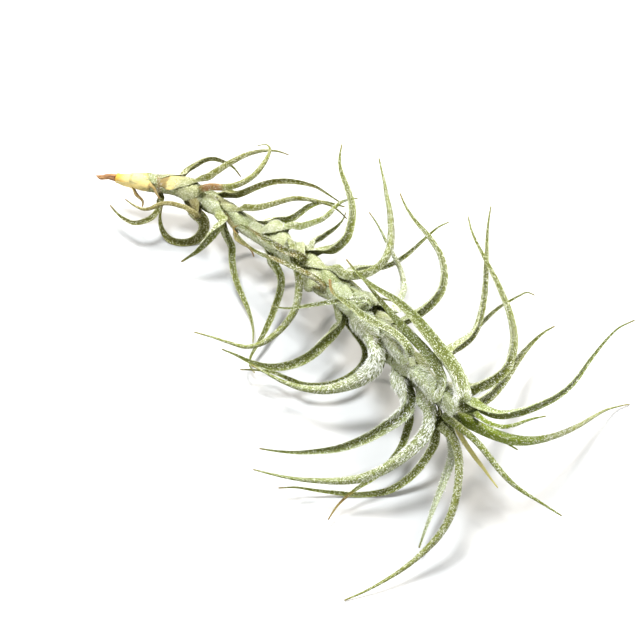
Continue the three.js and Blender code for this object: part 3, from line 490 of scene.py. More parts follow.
# Single leaves that look unlike their kind. width, thick and channel pair a share with the value there, and
# nudge a share with mm in x, y and z. fluff (long felt), rust, tip (where it browns) and cream run from one
# place to another, cream in mm. felting, scaly, darkness and freshness go for the blade, or from bladeFrom to
# bladeTo.
leafNotes = {
    "leaf_01": {"cream": (6.0, 10.0), "withering": (0.0, 0.5)},
    "leaf_02": {"cream": (5.0, 11.0), "withering": (0.0, 0.5)},
    "leaf_03": {"withering": (0.15, 0.12)},
    "leaf_05": {"width": ((0, 1.1), (0.15, 1.5), (0.7, 1.45), (1, 1.2))},
    "leaf_06": {
        "cream": (3.5, 7.5), "brownFoot": 1.6, "width": ((-0.3, 1.25), (-0.1, 1.1), (0, 1)),
        "nudge": ((-0.4, -2.5, 0, 0), (-0.26, -2.5, 0, 0), (-0.1, -1, 0, 0), (0, 0, 0, 0)),
    },
    "leaf_07": {"rust": (0.1, 0.27)},
    "leaf_08": {"withering": (0.2, 0.15), "darkness": 0.5},
    "leaf_11": {
        "thick": ((-0.05, 1), (0.05, 2.8), (0.3, 2), (0.6, 1)),
        "width": ((0, 1), (0.1, 1.5), (0.5, 1.9), (1, 1.4)),
        "nudge": ((0, 0, 0, 0), (0.1, 2, -0.5, 0), (0.5, 1.5, -1, 0), (0.8, 0.8, -0.5, 0), (1, 0, 0, 0)),
    },
    "leaf_14": {"withering": (0.0, 0.25), "tip": (0.55, 0.8)},
    # leaf_21 and leaf_25: their darkness paints the shade where they lie over the stem, and their withering
    # is their dry brown
    "leaf_21": {"darkness": 0.9, "felting": 0.7, "withering": (0.0, 0.22)},
    "leaf_25": {"darkness": 0.9, "felting": 0.7, "withering": (0.0, 0.22)},
    "leaf_27": {
        "thick": ((-0.06, 1), (0.0, 2.5), (0.06, 4), (0.14, 3), (0.25, 1.6), (0.5, 1)),
        "nudge": ((-0.1, 0, 0, 0), (0.0, 3, 0, 0), (0.05, 6.5, 0, 0), (0.1, 6, 0, 0), (0.2, 2.5, 0, 0),
                  (0.3, 0.5, 0, 0)),
    },
    "leaf_30": {
        "channel": ((0, 0.16), (0.15, 0.2), (0.25, 0.36)), "fluff": (0.05, 0.4),
        "width": ((-0.1, 1), (0, 1.3), (0.07, 2), (0.15, 1.8), (0.25, 1.6), (0.4, 1.7), (0.55, 1.3),
                  (1, 1.1)),
        "nudge": ((-0.1, 0, 0, 0), (0, 1.5, 0, 0), (0.07, 4, 0, 0), (0.15, 3.5, 0, 0), (0.25, 1.5, -0.5, 0),
                  (0.4, 0.5, -1.5, 0), (0.55, 0, -0.5, 0), (0.7, 0, 0, 0)),
    },
    "leaf_33": {"width": ((-0.25, 1.3), (-0.05, 1.2), (0.05, 1))},
    "leaf_34": {
        "tip": (0.88, 0.99), "channel": ((0, 0.24),), "fluff": (-0.05, 0.3),
        "width": ((0.5, 1), (0.8, 1.5), (1, 1.9)),
    },
    "leaf_35": {"shorter": 4.0},  # mm
    "leaf_36": {
        "channel": ((0, 0.14), (0.15, 0.2), (0.25, 0.42)), "fluff": (0.05, 0.35),
        "thick": ((-0.08, 1), (0, 4), (0.05, 5.5), (0.12, 5), (0.2, 3), (0.35, 1.6), (0.5, 1)),
        "width": ((-0.1, 1), (0, 1.2), (0.07, 1.4), (0.22, 1.4), (1, 1.1)),
        "nudge": ((-0.1, 0, 0, 0), (0, 3, 0, 0), (0.07, 5, 0, 0), (0.15, 3.5, 0, 0), (0.22, 1.5, 0, 0),
                  (0.35, 0, 0, 0)),
    },
    "leaf_37": {"tip": (0.72, 0.9)},
    "leaf_38": {"bladeFrom": 0.25, "felting": 0.6},
    "leaf_40": {
        "channel": ((0.0, 0.15), (0.25, 0.1), (0.34, -0.3), (1, -0.2)),
        "width": ((0.0, 1), (0.25, 1.2), (1, 1.1)),
        "fluff": (0.05, 0.3), "bladeFrom": 0.28, "felting": 0.5, "scaly": 0.5, "darkness": 0.3,
        "nudge": ((-0.1, 0, 0, 0), (0, 0, 0.5, 1), (0.1, 0.5, 1.5, 2), (0.2, 0.5, 1.5, 2.2),
                  (0.27, 0, 0.8, 1), (0.34, 0, 0, 0)),
    },
    "leaf_41": {
        "fluff": (0.1, 0.3), "felting": 0.75, "darkness": 0.3,
        "width": ((-0.1, 1), (0.05, 1.2), (0.2, 1.1), (0.4, 1)),
        "nudge": ((-0.15, 0, 0, 0), (-0.04, 2, 0.5, 0.5), (0.05, 4, 1.5, 1.5), (0.12, 3, 1, 1),
                  (0.2, 0.5, 0, 0), (0.3, 0, 0, 0)),
    },
    "leaf_43": {"shorter": 5.0},
    "leaf_45": {"felting": 4.0, "scaly": 1.8, "darkness": -1.0, "width": ((0, 1), (0.15, 1.35))},
    "leaf_46": {
        "channel": ((0, 0.3),), "width": ((0.0, 1), (0.08, 0.8), (0.22, 1), (1, 1.15)), "fluff": (0.05, 0.32),
        "bladeFrom": 0.3, "felting": 0.5, "scaly": 0.5, "darkness": 0.3,
        "thick": ((-0.06, 1), (0.0, 1.8), (0.1, 2.6), (0.2, 2.2), (0.32, 1)),
        "nudge": ((-0.1, 0, 0, 0), (0, -0.5, 0.5, 1), (0.08, -0.5, 1.5, 2.5), (0.17, -0.5, 1.5, 2.5),
                  (0.24, -0.5, 1, 1.5), (0.32, 0, 0, 0)),
    },
    "leaf_49": {
        "width": ((0, 1), (0.1, 0.75), (0.6, 0.9)), "withering": (0.0, 0.0), "freshness": 1.15,
        "darkness": -0.5, "channel": ((0, 0.02),), "felting": 2.0, "tip": (1.0, 1.2),
    },
    "leaf_50": {"felting": 0.5, "freshness": 0.7, "scaly": 0.6},
    "leaf_51": {"freshness": 0.6, "scaly": 0.7},
    "leaf_52": {"freshness": 0.8, "scaly": 0.6},
    "leaf_53": {
        "felting": 0.15, "freshness": 1.0, "channel": ((0, 0.22),), "scaly": 0.25, "darkness": 0.0,
        "bladeTo": 0.36, "width": ((0, 1), (0.3, 1), (0.5, 0.75), (1, 0.85)),
    },
    "leaf_54": {"felting": 0.6, "freshness": 1.0, "scaly": 0.4},
}

across = np.linspace(-1, 1, acrossLeaf)  # from one margin of a leaf to the other
aroundIt = np.concatenate([across, across[::-1]])  # the same for each vertex of a ring


# The CAD leaf's rings made finer and reshaped, with how far along each is in mm and as a share of the blade,
# how wide it is and how deep its channel
def leafCage(node, kind, note, draw):
    shape = leafShape
    rings = ringsOf(node)
    stations = lengthsAlong(rings.mean(axis=1))
    bladeStart, length = stations[shape["sheathRings"] - 1], stations[-1]
    reached = length - note.get("shorter", 0)
    along = np.linspace(0, reached, max(shape["fewestSteps"], round(reached / shape["ringSpacing"])) + 1)
    share = (along - bladeStart) / (length - bladeStart)
    fine = alongRings(rings, stations, along)
    if "nudge" in note:
        at, *moves = zip(*note["nudge"])
        fine = fine + np.stack([np.interp(share, at, move) for move in moves], axis=1)[:, None]
    outer, inner = fine[:, :acrossLeaf], fine[:, acrossLeaf:][:, ::-1]

    half = (outer - inner) / 2 * np.array(shape["thinning"])[None, :, None]
    least, since = shape["tipThickness"]
    half *= (1 + (least - 1) * smoothStep(share, since, 1))[:, None, None]
    half *= valueAt(share, note.get("thick", shape["thick"]))[:, None, None]

    middle = (outer + inner) / 2
    centre = middle.mean(axis=1, keepdims=True)
    least, since = shape["tipWidth"]
    breadth = shape["widening"] * valueAt(share, note.get("width", ((0, 1),)))
    breadth *= 1 + (least - 1) * smoothStep(share, since, 1)
    middle = centre + (middle - centre) * breadth[:, None, None]
    width = np.linalg.norm(middle[:, -1] - middle[:, 0], axis=1)

    lost, since = shape["channelEnd"]
    channel = valueAt(share, note.get("channel", ((0, kind["channel"]),)))
    channel *= smoothStep(share, *shape["channelStart"]) * (1 - lost * smoothStep(share, since, 1))
    sunk = (channel * width)[:, None] * (1 - across[None] ** 2)
    sunk += draw.normal(0, shape["wave"], middle.shape[:2])
    middle = middle + unit(half) * sunk[:, :, None]
    cage = np.concatenate([middle + half, (middle - half)[:, ::-1]], axis=1)
    return cage, along, share, width, channel


# The sheath comes down onto the stem, and the blade's start follows it
def claspStem(cage, along, share, clasp):
    shape = leafShape
    closer = clasp[0] + (clasp[1] - clasp[0]) * aroundIt**2
    sheathEnd = np.flatnonzero(share <= 0)[-1]
    for k in range(sheathEnd + 1):
        radial, _, thick = outFromStem(cage[k])
        spare = np.linalg.norm(radial, axis=1) - thick - shape["clearance"]
        shift = -unit(radial) * (np.clip(spare, 0, shape["claspMost"]) * closer)[:, None]
        cage[k] += shift
    fading = 1 - smoothStep(along - along[sheathEnd], 0, shape["claspFade"])
    cage[sheathEnd + 1:] += shift * fading[sheathEnd + 1:, None, None]


# The foot runs on under the neighbouring sheath and into the stem
def tuckFoot(cage):
    shape = leafShape
    radial, ahead, thick = outFromStem(cage[0])
    inwards = thick - np.repeat(shape["footDepth"], acrossLeaf) - np.linalg.norm(radial, axis=1)
    tucked = []
    for step in range(shape["tuckedRings"], 0, -1):
        depth = (step / shape["tuckedRings"]) ** shape["tuckedCurve"]
        ring = cage[0] + unit(radial) * (inwards * depth)[:, None]
        tucked.append(ring - ahead * shape["tuckedSpacing"] * step)
    return np.concatenate([np.array(tucked), cage])


# 1 from the first end to the second, each with its soft edge
def stretch(share, ends, edges):
    return hump(share, *[(end + before, end + after) for end, (before, after) in zip(ends, edges)])


# What each ring's colour and scales go by
def ringValues(along, share, kind, note, draw):
    shape = leafShape
    onBlade = stretch(share, (note.get("bladeFrom", 0), note.get("bladeTo", 2)), shape["bladeEdges"])
    felting = np.interp(share, shape["feltingAt"], kind["felting"])
    felting *= 1 + (note.get("felting", 1) - 1) * onBlade
    onSheath, onTip = note.get("withering", kind["withering"])
    withering = onSheath + (onTip - onSheath) * onBlade
    withering = withering + shape["tipWithering"] * smoothStep(share, *note.get("tip", shape["tip"]))
    withering = withering + note.get("brownFoot", 0) * (1 - smoothStep(along, *shape["brownFootEnds"]))
    return {
        "felting": felting,
        "withering": withering,
        "rust": stretch(share, note.get("rust", beyondTip), shape["rustEdges"]),
        "cream": 1 - smoothStep(along, *note.get("cream", beforeFoot)),
        "fluff": stretch(share, note.get("fluff", beyondTip), shape["fluffEdges"]),
        "share": share,
        "along": along,
        "freshness": note.get("freshness", draw.uniform(*shape["freshness"])) * onBlade,
        "darkness": note.get("darkness", draw.uniform(*shape["darkness"])) * onBlade,
        "scaly": 1 + (note.get("scaly", 1) - 1) * onBlade,
    }


def buildSkin(node, draw):
    shape = leafShape
    kind = leafKinds[slotOf[node]]
    note = leafNotes.get(node, {})
    cage, along, share, width, channel = leafCage(node, kind, note, draw)
    claspStem(cage, along, share, kind["clasp"])
    cage = tuckFoot(cage)
    cage[:, :, 2] = np.maximum(cage[:, :, 2], shape["lowest"])
    tucked = shape["tuckedRings"]
    along = np.concatenate([np.arange(-tucked, 0) * shape["tuckedSpacing"], along])
    share = np.concatenate([np.full(tucked, share[0]), share])
    width = np.concatenate([np.full(tucked, width[0]), width])
    channel = np.concatenate([np.zeros(tucked), channel]) / shape["fullChannel"]

    values = ringValues(along, share, kind, note, draw)
    values = {key: np.repeat(value, aroundLeaf) for key, value in values.items()}
    sideways = np.tile(aroundIt, (len(along), 1))
    hollow = np.stack([np.clip(-channel, 0, 1), np.clip(channel, 0, 1)], axis=1)
    hollow = np.repeat(hollow, acrossLeaf, axis=1)
    place = [sideways * width[:, None] / 2, np.tile(along[:, None], (1, aroundLeaf)), hollow]
    values["leafPlace"] = np.stack(place, axis=2).reshape(-1, 3)
    values["sideways"] = sideways.ravel()
    values["innerFace"] = hollow.ravel()
    piece = linked(node + "_skin", tubeMesh(node + "_skin", cage, values))
    smoothed(piece)
    addValues(piece.data, {"skyward": skywardOf(piece.data)})
    return piece


# Scales: small pointed flakes all over the plant, each lifting off the skin towards the leaf's tip
scaleLook = {
    "few": 14.0,  # on a square millimetre of bare blade
    "many": 22.0,  # on a square millimetre of full felt
    "crowding": 1.5,
    "underside": 0.3,  # how many there are where the skin faces down, against where it faces up; fewer pale scales there paint shade on the underside
    "rarer": {"channel": 0.8, "bareFoot": 0.9, "tip": 0.5, "gaps": 0.45, "creases": 0.75},
    "tipFrom": 0.7,  # share of the blade
    "creased": (0.05, 0.45),  # shelter, over which creases lose scales as painted shade
    "patches": ((1.1, 0.7, -0.5), (-0.6, 0.9, 0.8)),  # radians to the mm
    "length": (0.25, 0.4),  # mm, bare and felted
    "width": (0.12, 0.15),
    "lift": (0.16, 0.3),
    "sizeRange": (0.75, 1.25),
    "liftRange": (0.3, 1.7),
    "largeShare": 0.2,
    "largeSize": 1.35,
    "smallSize": 0.8,
    "slimTip": (0.45, 0.5),  # how much smaller they are at the tip, and from what share on
    "swing": 0.7,  # radians either way from the leaf's line
    "hairShare": 0.3,  # where the felt is long
    "hair": (1.5, 0.2, 0.85),  # mm, length, width and lift
    "hairRange": (0.6, 1),
    "hairSwing": 0.5,
    "lowest": 0.1,  # mm above the table
}

# One flake, in shares of its length and lift
flakeShape = {
    "rootBack": 0.3,
    "rootSunk": 0.03,  # mm
    "shoulderAt": 0.15,
    "shoulderLift": 0.3,
    "tipAt": 0.7,
    "standOff": 0.02,  # mm
}

# How pale a flake is, from 0 to 1: drawn at random, and then moved by so much
flakeTone = {
    "bareCurve": 1.5,
    "feltedCurve": 0.5,  # taken off it in full felt
    "large": 0.15,
    "hair": 0.8,
    "fluff": 0.25,
    # Flakes that face up are paler and those that face down darker, as painted light and shade
    "skyward": 0.4,
    "evenSkyward": 0.6,
    "patches": 0.35,
    "tufts": 0.25,
    "tuftSize": ((4.4, 2.5, -3.1), (-2.3, 4.1, 3.3)),  # radians to the mm
    # Flakes in creases are darker, as painted shade
    "shelter": 1.2,
}


# Soft patches in space, from -1 to 1
def patchesAt(places, first, second):
    return np.sin(places @ first) * np.sin(places @ second + 1)


# A skin's triangles: where each lies and faces, which way the leaf runs there, and the values of the skin
def facesOf(mesh):
    corners = readTriangles(mesh)
    spots = readPlaces(mesh)[corners]
    a, b, c = (spots[:, n] for n in range(3))
    cross = np.cross(b - a, c - a)
    normal = unit(cross)
    along = readValue(mesh, "along")[corners]
    rise = (along[:, :1] - along[:, 1:2]) * np.cross(normal, c - a)
    rise += (along[:, 2:] - along[:, :1]) * np.cross(normal, b - a)
    faces = {"spots": spots, "middle": (a + b + c) / 3, "normal": normal, "onwards": unit(rise)}
    faces["area"] = np.linalg.norm(cross, axis=1) / 2
    for key in ("felting", "share", "fluff", "cream", "scaly", "skyward", "shelter", "withering"):
        faces[key] = readValue(mesh, key)[corners].mean(axis=1)
    faces["felting"] = np.clip(faces["felting"], 0, 1)
    hollow = readValue(mesh, "innerFace") * (1 - readValue(mesh, "sideways") ** 2)
    faces["hollow"] = hollow[corners].mean(axis=1)
    faces["patchy"] = patchesAt(faces["middle"], *scaleLook["patches"]) * 0.5 + 0.5
    return faces


# How many scales belong on each triangle
def scalesWanted(faces, density):
    look, rarer = scaleLook, scaleLook["rarer"]
    perSquare = look["few"] + (look["many"] - look["few"]) * faces["felting"] ** look["crowding"]
    # Fewer scales on faces that look down paint shade there
    perSquare *= look["underside"] + (1 - look["underside"]) * faces["skyward"]
    left = (1 - rarer["channel"] * faces["hollow"]) * (1 - rarer["bareFoot"] * faces["cream"])
    perSquare *= left * (1 - rarer["tip"] * smoothStep(faces["share"], look["tipFrom"], 1))
    left = 1 - rarer["gaps"] + rarer["gaps"] * faces["patchy"]
    # Fewer scales in creases paint shade there
    perSquare *= left * (1 - rarer["creases"] * smoothStep(faces["shelter"], *look["creased"]))
    return faces["area"] * perSquare * faces["scaly"] * density


def buildScales(skin, draw, density):
    look, part, tones = scaleLook, flakeShape, flakeTone
    faces = facesOf(skin.data)
    wanted = scalesWanted(faces, density)
    total = int(wanted.sum())
    chosen = draw.choice(len(wanted), total, p=wanted / wanted.sum())
    under = {key: value[chosen] for key, value in faces.items()}
    first, second = np.sqrt(draw.random(total)), draw.random(total)
    corners = np.stack([1 - first, first * (1 - second), first * second], axis=1)
    base = (under["spots"] * corners[:, :, None]).sum(axis=1)
    up, onwards, felted = under["normal"], under["onwards"], under["felting"]

    hairy = draw.random(total) < look["hairShare"] * under["fluff"]
    hairy = hairy * draw.uniform(*look["hairRange"], total)
    turn = (draw.normal(0, look["swing"], total) * np.where(hairy > 0, look["hairSwing"], 1))[:, None]
    forward = onwards * np.cos(turn) + np.cross(up, onwards) * np.sin(turn)
    aside = np.cross(up, forward)
    large = draw.random(total) < look["largeShare"]
    less, since = look["slimTip"]
    size = (1 - less * smoothStep(under["share"], since, 1.0)) * draw.uniform(*look["sizeRange"], total)
    size = size * np.where(large, look["largeSize"], look["smallSize"])
    length, width, lift = (
        ((1 - felted) * look[key][0] + felted * look[key][1]) * size for key in ("length", "width", "lift")
    )
    lift *= draw.uniform(*look["liftRange"], total)
    for measure, hair in zip((length, width, lift), look["hair"]):
        measure += (hair - measure) * hairy
    length, width, lift = length[:, None], width[:, None], lift[:, None]
    rise = part["standOff"] + lift * part["shoulderLift"]
    shoulder = base + forward * length * part["shoulderAt"] + up * rise
    flakes = np.stack([
        base - forward * length * part["rootBack"] - up * part["rootSunk"],
        shoulder + aside * width / 2,
        base + forward * length * part["tipAt"] + up * (part["standOff"] + lift),
        shoulder - aside * width / 2,
    ], axis=1)
    flakes[:, :, 2] = np.maximum(flakes[:, :, 2], look["lowest"])
    cloud = bpy.data.meshes.new(skin.name + "_scales")
    quads = np.arange(total * 4).reshape(-1, 4).tolist()
    cloud.from_pydata((flakes.reshape(-1, 3) * mm).tolist(), [], quads)

    tone = draw.random(total) ** (tones["bareCurve"] - tones["feltedCurve"] * felted)
    tone += np.where(large, tones["large"], 0.0)
    # Painted light on flakes that face up, and painted shade on those in creases
    tone += (
        tones["hair"] * hairy - tones["fluff"] * under["fluff"]
        + tones["skyward"] * (under["skyward"] - tones["evenSkyward"])
    )
    tufts = tones["tufts"] * patchesAt(base, *tones["tuftSize"]) * felted
    tone += tones["patches"] * (under["patchy"] - 0.5) + tufts - tones["shelter"] * under["shelter"]
    values = {"tone": np.clip(tone, 0, 1), "withering": under["withering"]}
    addValues(cloud, {key: np.repeat(value, 4) for key, value in values.items()})
    return linked(skin.name + "_scales", cloud)


# Materials
def newGroup(name, inputs, outputs):
    group = bpy.data.node_groups.new(name, "ShaderNodeTree")
    for side, sockets in (("INPUT", inputs), ("OUTPUT", outputs)):
        for label, kind in sockets.items():
            group.interface.new_socket(label, in_out=side, socket_type=kind)
    return group


class NodeDesk:  # adds nodes to one tree and joins them
    def __init__(self, tree):
        self.tree = tree

    def add(self, kind, links, **settings):
        node = self.tree.nodes.new(kind)
        for key, value in settings.items():
            setattr(node, key, value)
        for key, value in links.items():
            self.feed(node, key, value)
        return node

    def feed(self, node, key, value):
        if isinstance(value, bpy.types.NodeSocket):
            self.tree.links.new(value, node.inputs[key])
        else:
            node.inputs[key].default_value = value

    def value(self, name):
        return self.add("ShaderNodeAttribute", {}, attribute_name=name).outputs["Fac"]

    def vector(self, name):
        return self.add("ShaderNodeAttribute", {}, attribute_name=name).outputs["Vector"]

    def maths(self, operation, a, b, clamp=False):
        return self.add("ShaderNodeMath", {0: a, 1: b}, operation=operation, use_clamp=clamp).outputs[0]

    def plus(self, a, b, clamp=False):
        return self.maths("ADD", a, b, clamp)

    def minus(self, a, b, clamp=False):
        return self.maths("SUBTRACT", a, b, clamp)

    def times(self, a, b, clamp=False):
        return self.maths("MULTIPLY", a, b, clamp)

    def ramp(self, value, ends):
        links = {0: value, 1: ends[0], 2: ends[1]}
        return self.add("ShaderNodeMapRange", links, interpolation_type="SMOOTHSTEP").outputs["Result"]

    def mix(self, factor, a, b):
        return self.add("ShaderNodeMix", {0: factor, 6: a, 7: b}, data_type="RGBA").outputs[2]

    def scaled(self, vector, scale):
        return self.add("ShaderNodeVectorMath", {0: vector, 1: scale}, operation="MULTIPLY").outputs[0]

    def noise(self, place, scale, detail, roughness=0.5):
        links = {"Vector": self.scaled(place, scale), "Scale": 1.0, "Detail": detail, "Roughness": roughness}
        return self.add("ShaderNodeTexNoise", links).outputs["Fac"]


# Relief from a height that varies over the surface; depth is in metres
def addRelief(desk, shader, height, strength, depth):
    bump = desk.add("ShaderNodeBump", {"Height": height, "Strength": strength, "Distance": depth})
    desk.feed(shader, "Normal", bump.outputs["Normal"])


# White dots of single scales over a surface, the felt between them and their relief; Place is in millimetres
dotsLook = {
    "cells": (1.9, 1.35, 1),  # to the millimetre, across and along
    "dotSize": (0.3, 0.16),  # in cells, and what full felt adds
    "dotEdge": (-0.08, 0.08),
    "tufts": (3.2, 1.7, 1),
    "feltEnds": (0.75, 1.5),  # tuft and felting together
    "dotRelief": 0.6,
}


def scaleDotsGroup():
    look = dotsLook
    group = newGroup(
        "scaleDots",
        {"Place": "NodeSocketVector", "Felting": "NodeSocketFloat"},
        {"Dots": "NodeSocketFloat", "Felt": "NodeSocketFloat", "Height": "NodeSocketFloat"},
    )
    desk = NodeDesk(group)
    given = desk.add("NodeGroupInput", {}).outputs
    place = desk.scaled(given["Place"], look["cells"])
    cells = desk.add("ShaderNodeTexVoronoi", {"Vector": place, "Scale": 1.0}, feature="F1")
    size = desk.plus(look["dotSize"][0], desk.times(given["Felting"], look["dotSize"][1]))
    dots = desk.ramp(desk.minus(size, cells.outputs["Distance"]), look["dotEdge"])
    tufts = desk.noise(given["Place"], look["tufts"], 4.0, 0.65)
    felt = desk.ramp(desk.plus(tufts, given["Felting"]), look["feltEnds"])
    height = desk.plus(desk.times(dots, look["dotRelief"]), tufts)
    desk.add("NodeGroupOutput", {"Dots": dots, "Felt": felt, "Height": height})
    return group


scaleDots = scaleDotsGroup()

# Colour and relief of a leaf's skin, from the values that its mesh carries, with painted shade on its
# underside and in its creases
feltLook = {
    "patchSize": (0.5, 0.13, 1),  # to the millimetre, across the leaf and along it
    "lineSize": (4.5, 0.3, 1),
    "under": (0.85, 0.1),  # skyward, where the painted shade of the underside begins and where it is full
    "creased": (0.05, 0.42),  # shelter, over which creases take painted shade
    "channelSides": (0.95, 0.35),  # from the margins, which are 1, to the middle
    "channelShade": 0.75,
    "darkPatches": (0.45, 0.9),
    "fresh": 0.85,
    "paleLines": (0.5, 0.8),
    "paleLine": 0.35,
    "margins": (0.8, 0.98),
    "marginFelt": 0.3,
    "shadeThinsFelt": (0.35, 0.4, 0.8),  # felt taken away as painted shade: in the channel, on the underside and in creases
    "felt": 0.55,
    "dots": 0.7,
    "creamPatches": (0.75, 0.4),
    "withering": (0.05, 0.8),
    "withered": 0.85,
    "rustLines": (0.3, 0.5),
    "rust": 0.8,
    "lineRelief": 0.5,
    "roughness": (0.6, 0.25),  # bare, and what felt adds
}


def leafFeltGroup():
    look = feltLook
    colours = ("Green", "Fresh", "Shade", "Felt", "Withered", "Rust", "Cream")
    group = newGroup(
        "leafFelt",
        {colour: "NodeSocketColor" for colour in colours},
        {"Colour": "NodeSocketColor", "Height": "NodeSocketFloat", "Matt": "NodeSocketFloat"},
    )
    desk = NodeDesk(group)
    given = desk.add("NodeGroupInput", {}).outputs
    place = desk.vector("leafPlace")
    sideways = desk.maths("ABSOLUTE", desk.value("sideways"), 0.0)
    patches = desk.noise(place, look["patchSize"], 3.0)
    lines = desk.noise(place, look["lineSize"], 3.0, 0.6)
    # Painted shade on the underside, from how far the skin faces up
    under = desk.ramp(desk.value("skyward"), look["under"])
    # Painted shade in creases, from how hemmed in the skin is
    creaseShade = desk.ramp(desk.value("shelter"), look["creased"])
    channel = desk.times(desk.value("innerFace"), desk.ramp(sideways, look["channelSides"]))

    # The leaf's own darkness and dark patches, and the painted shade of its underside and creases
    dark = desk.plus(desk.value("darkness"), desk.ramp(patches, look["darkPatches"]), True)
    dark = desk.plus(desk.plus(dark, under), creaseShade, True)
    colour = desk.mix(dark, given["Green"], given["Shade"])
    fresh = desk.times(desk.value("freshness"), look["fresh"], True)
    colour = desk.mix(fresh, colour, given["Fresh"])
    colour = desk.mix(desk.times(channel, look["channelShade"]), colour, given["Shade"])
    paleLines = desk.times(desk.ramp(lines, look["paleLines"]), look["paleLine"])
    colour = desk.mix(paleLines, colour, given["Felt"])

    onMargin = desk.times(desk.ramp(sideways, look["margins"]), look["marginFelt"])
    felting = desk.plus(desk.value("felting"), onMargin)
    for mask, less in zip((channel, under, creaseShade), look["shadeThinsFelt"]):
        felting = desk.minus(felting, desk.times(mask, less), True)
    dots = desk.add("ShaderNodeGroup", {"Place": place, "Felting": felting}, node_tree=scaleDots).outputs
    colour = desk.mix(desk.times(dots["Felt"], look["felt"]), colour, given["Felt"])
    colour = desk.mix(desk.times(dots["Dots"], look["dots"]), colour, given["Felt"])

    cream = desk.times(desk.value("cream"), desk.ramp(patches, look["creamPatches"]))
    colour = desk.mix(cream, colour, given["Cream"])
    withered = desk.plus(desk.value("withering"), desk.minus(patches, 0.5), True)
    withered = desk.times(desk.ramp(withered, look["withering"]), look["withered"])
    colour = desk.mix(withered, colour, given["Withered"])
    rust = desk.times(desk.value("rust"), desk.ramp(lines, look["rustLines"]))
    colour = desk.mix(desk.times(rust, look["rust"]), colour, given["Rust"])

    bare, added = look["roughness"]
    desk.add("NodeGroupOutput", {
        "Colour": colour,
        "Height": desk.plus(dots["Height"], desk.times(lines, look["lineRelief"])),
        "Matt": desk.plus(desk.times(dots["Felt"], added), bare, True),
    })
    return group


leafFelt = leafFeltGroup()

leafSurface = {
    "gloss": {"Specular IOR Level": 0.12},
    "relief": (0.6, 0.00015),
    "everyLeaf": {"Rust": (0.3, 0.11, 0.045, 1), "Cream": (0.72, 0.57, 0.22, 1)},
}

leafFinish = {
    "leaf_green": {
        "Green": (0.17, 0.19, 0.03, 1), "Shade": (0.055, 0.063, 0.005, 1), "Felt": (0.58, 0.61, 0.4, 1),
        "Fresh": (0.125, 0.17, 0.01, 1), "Withered": (0.26, 0.16, 0.05, 1),
    },
    "leaf_felted": {
        "Green": (0.185, 0.205, 0.052, 1), "Shade": (0.08, 0.092, 0.018, 1), "Felt": (0.55, 0.6, 0.4, 1),
        "Fresh": (0.14, 0.19, 0.012, 1), "Withered": (0.28, 0.16, 0.055, 1),
    },
    "leaf_old": {
        "Green": (0.165, 0.17, 0.03, 1), "Shade": (0.055, 0.058, 0.005, 1), "Felt": (0.54, 0.55, 0.34, 1),
        "Fresh": (0.22, 0.27, 0.04, 1), "Withered": (0.22, 0.15, 0.055, 1),
    },
    "leaf_dead": {
        "Green": (0.26, 0.23, 0.07, 1), "Shade": (0.1, 0.085, 0.02, 1), "Felt": (0.55, 0.52, 0.3, 1),
        "Fresh": (0.62, 0.58, 0.2, 1), "Withered": (0.2, 0.12, 0.045, 1),
    },
}

scaleSurface = {
    "gloss": {"Roughness": 0.6, "Specular IOR Level": 0.1},
    "tones": (0.1, 0.95),
    "withering": (0.1, 0.9),
    "withered": 0.7,
    "witheredColour": (0.24, 0.15, 0.06, 1),
}

# Dull and pale scales of each kind of leaf
scaleColours = {
    "leaf_green": ((0.28, 0.31, 0.08, 1), (0.98, 0.98, 0.92, 1)),
    "leaf_felted": ((0.29, 0.33, 0.11, 1), (0.98, 0.98, 0.95, 1)),
    "leaf_old": ((0.25, 0.26, 0.1, 1), (0.89, 0.89, 0.68, 1)),
    "leaf_dead": ((0.3, 0.26, 0.12, 1), (0.66, 0.61, 0.38, 1)),
}


def leafMaterial(slot):
    material, shader = newMaterial(slot + "_skin", leafSurface["gloss"])
    desk = NodeDesk(material.node_tree)
    colours = {**leafSurface["everyLeaf"], **leafFinish[slot]}
    felt = desk.add("ShaderNodeGroup", colours, node_tree=leafFelt).outputs
    desk.feed(shader, "Base Color", felt["Colour"])
    desk.feed(shader, "Roughness", felt["Matt"])
    addRelief(desk, shader, felt["Height"], *leafSurface["relief"])
    return material


def scaleMaterial(slot):
    surface = scaleSurface
    material, shader = newMaterial(slot + "_scales", surface["gloss"])
    desk = NodeDesk(material.node_tree)
    colour = desk.mix(desk.ramp(desk.value("tone"), surface["tones"]), *scaleColours[slot])
    withered = desk.times(desk.ramp(desk.value("withering"), surface["withering"]), surface["withered"])
    desk.feed(shader, "Base Color", desk.mix(withered, colour, surface["witheredColour"]))
    return material


skinMaterials = {slot: leafMaterial(slot) for slot in leafFinish}
scaleMaterials = {slot: scaleMaterial(slot) for slot in scaleColours}
print("materials ready")

# The skins first, then the stem that meets their sheaths, then the scales on all of them
leafDraws = {node: np.random.default_rng(int(node.split("_")[1])) for node in leafNodes}
leafSkins = {}
for node in leafNodes:
    leafSkins[node] = buildSkin(node, leafDraws[node])
    leafSkins[node].data.materials.append(skinMaterials[slotOf[node]])
print("leaf skins built")


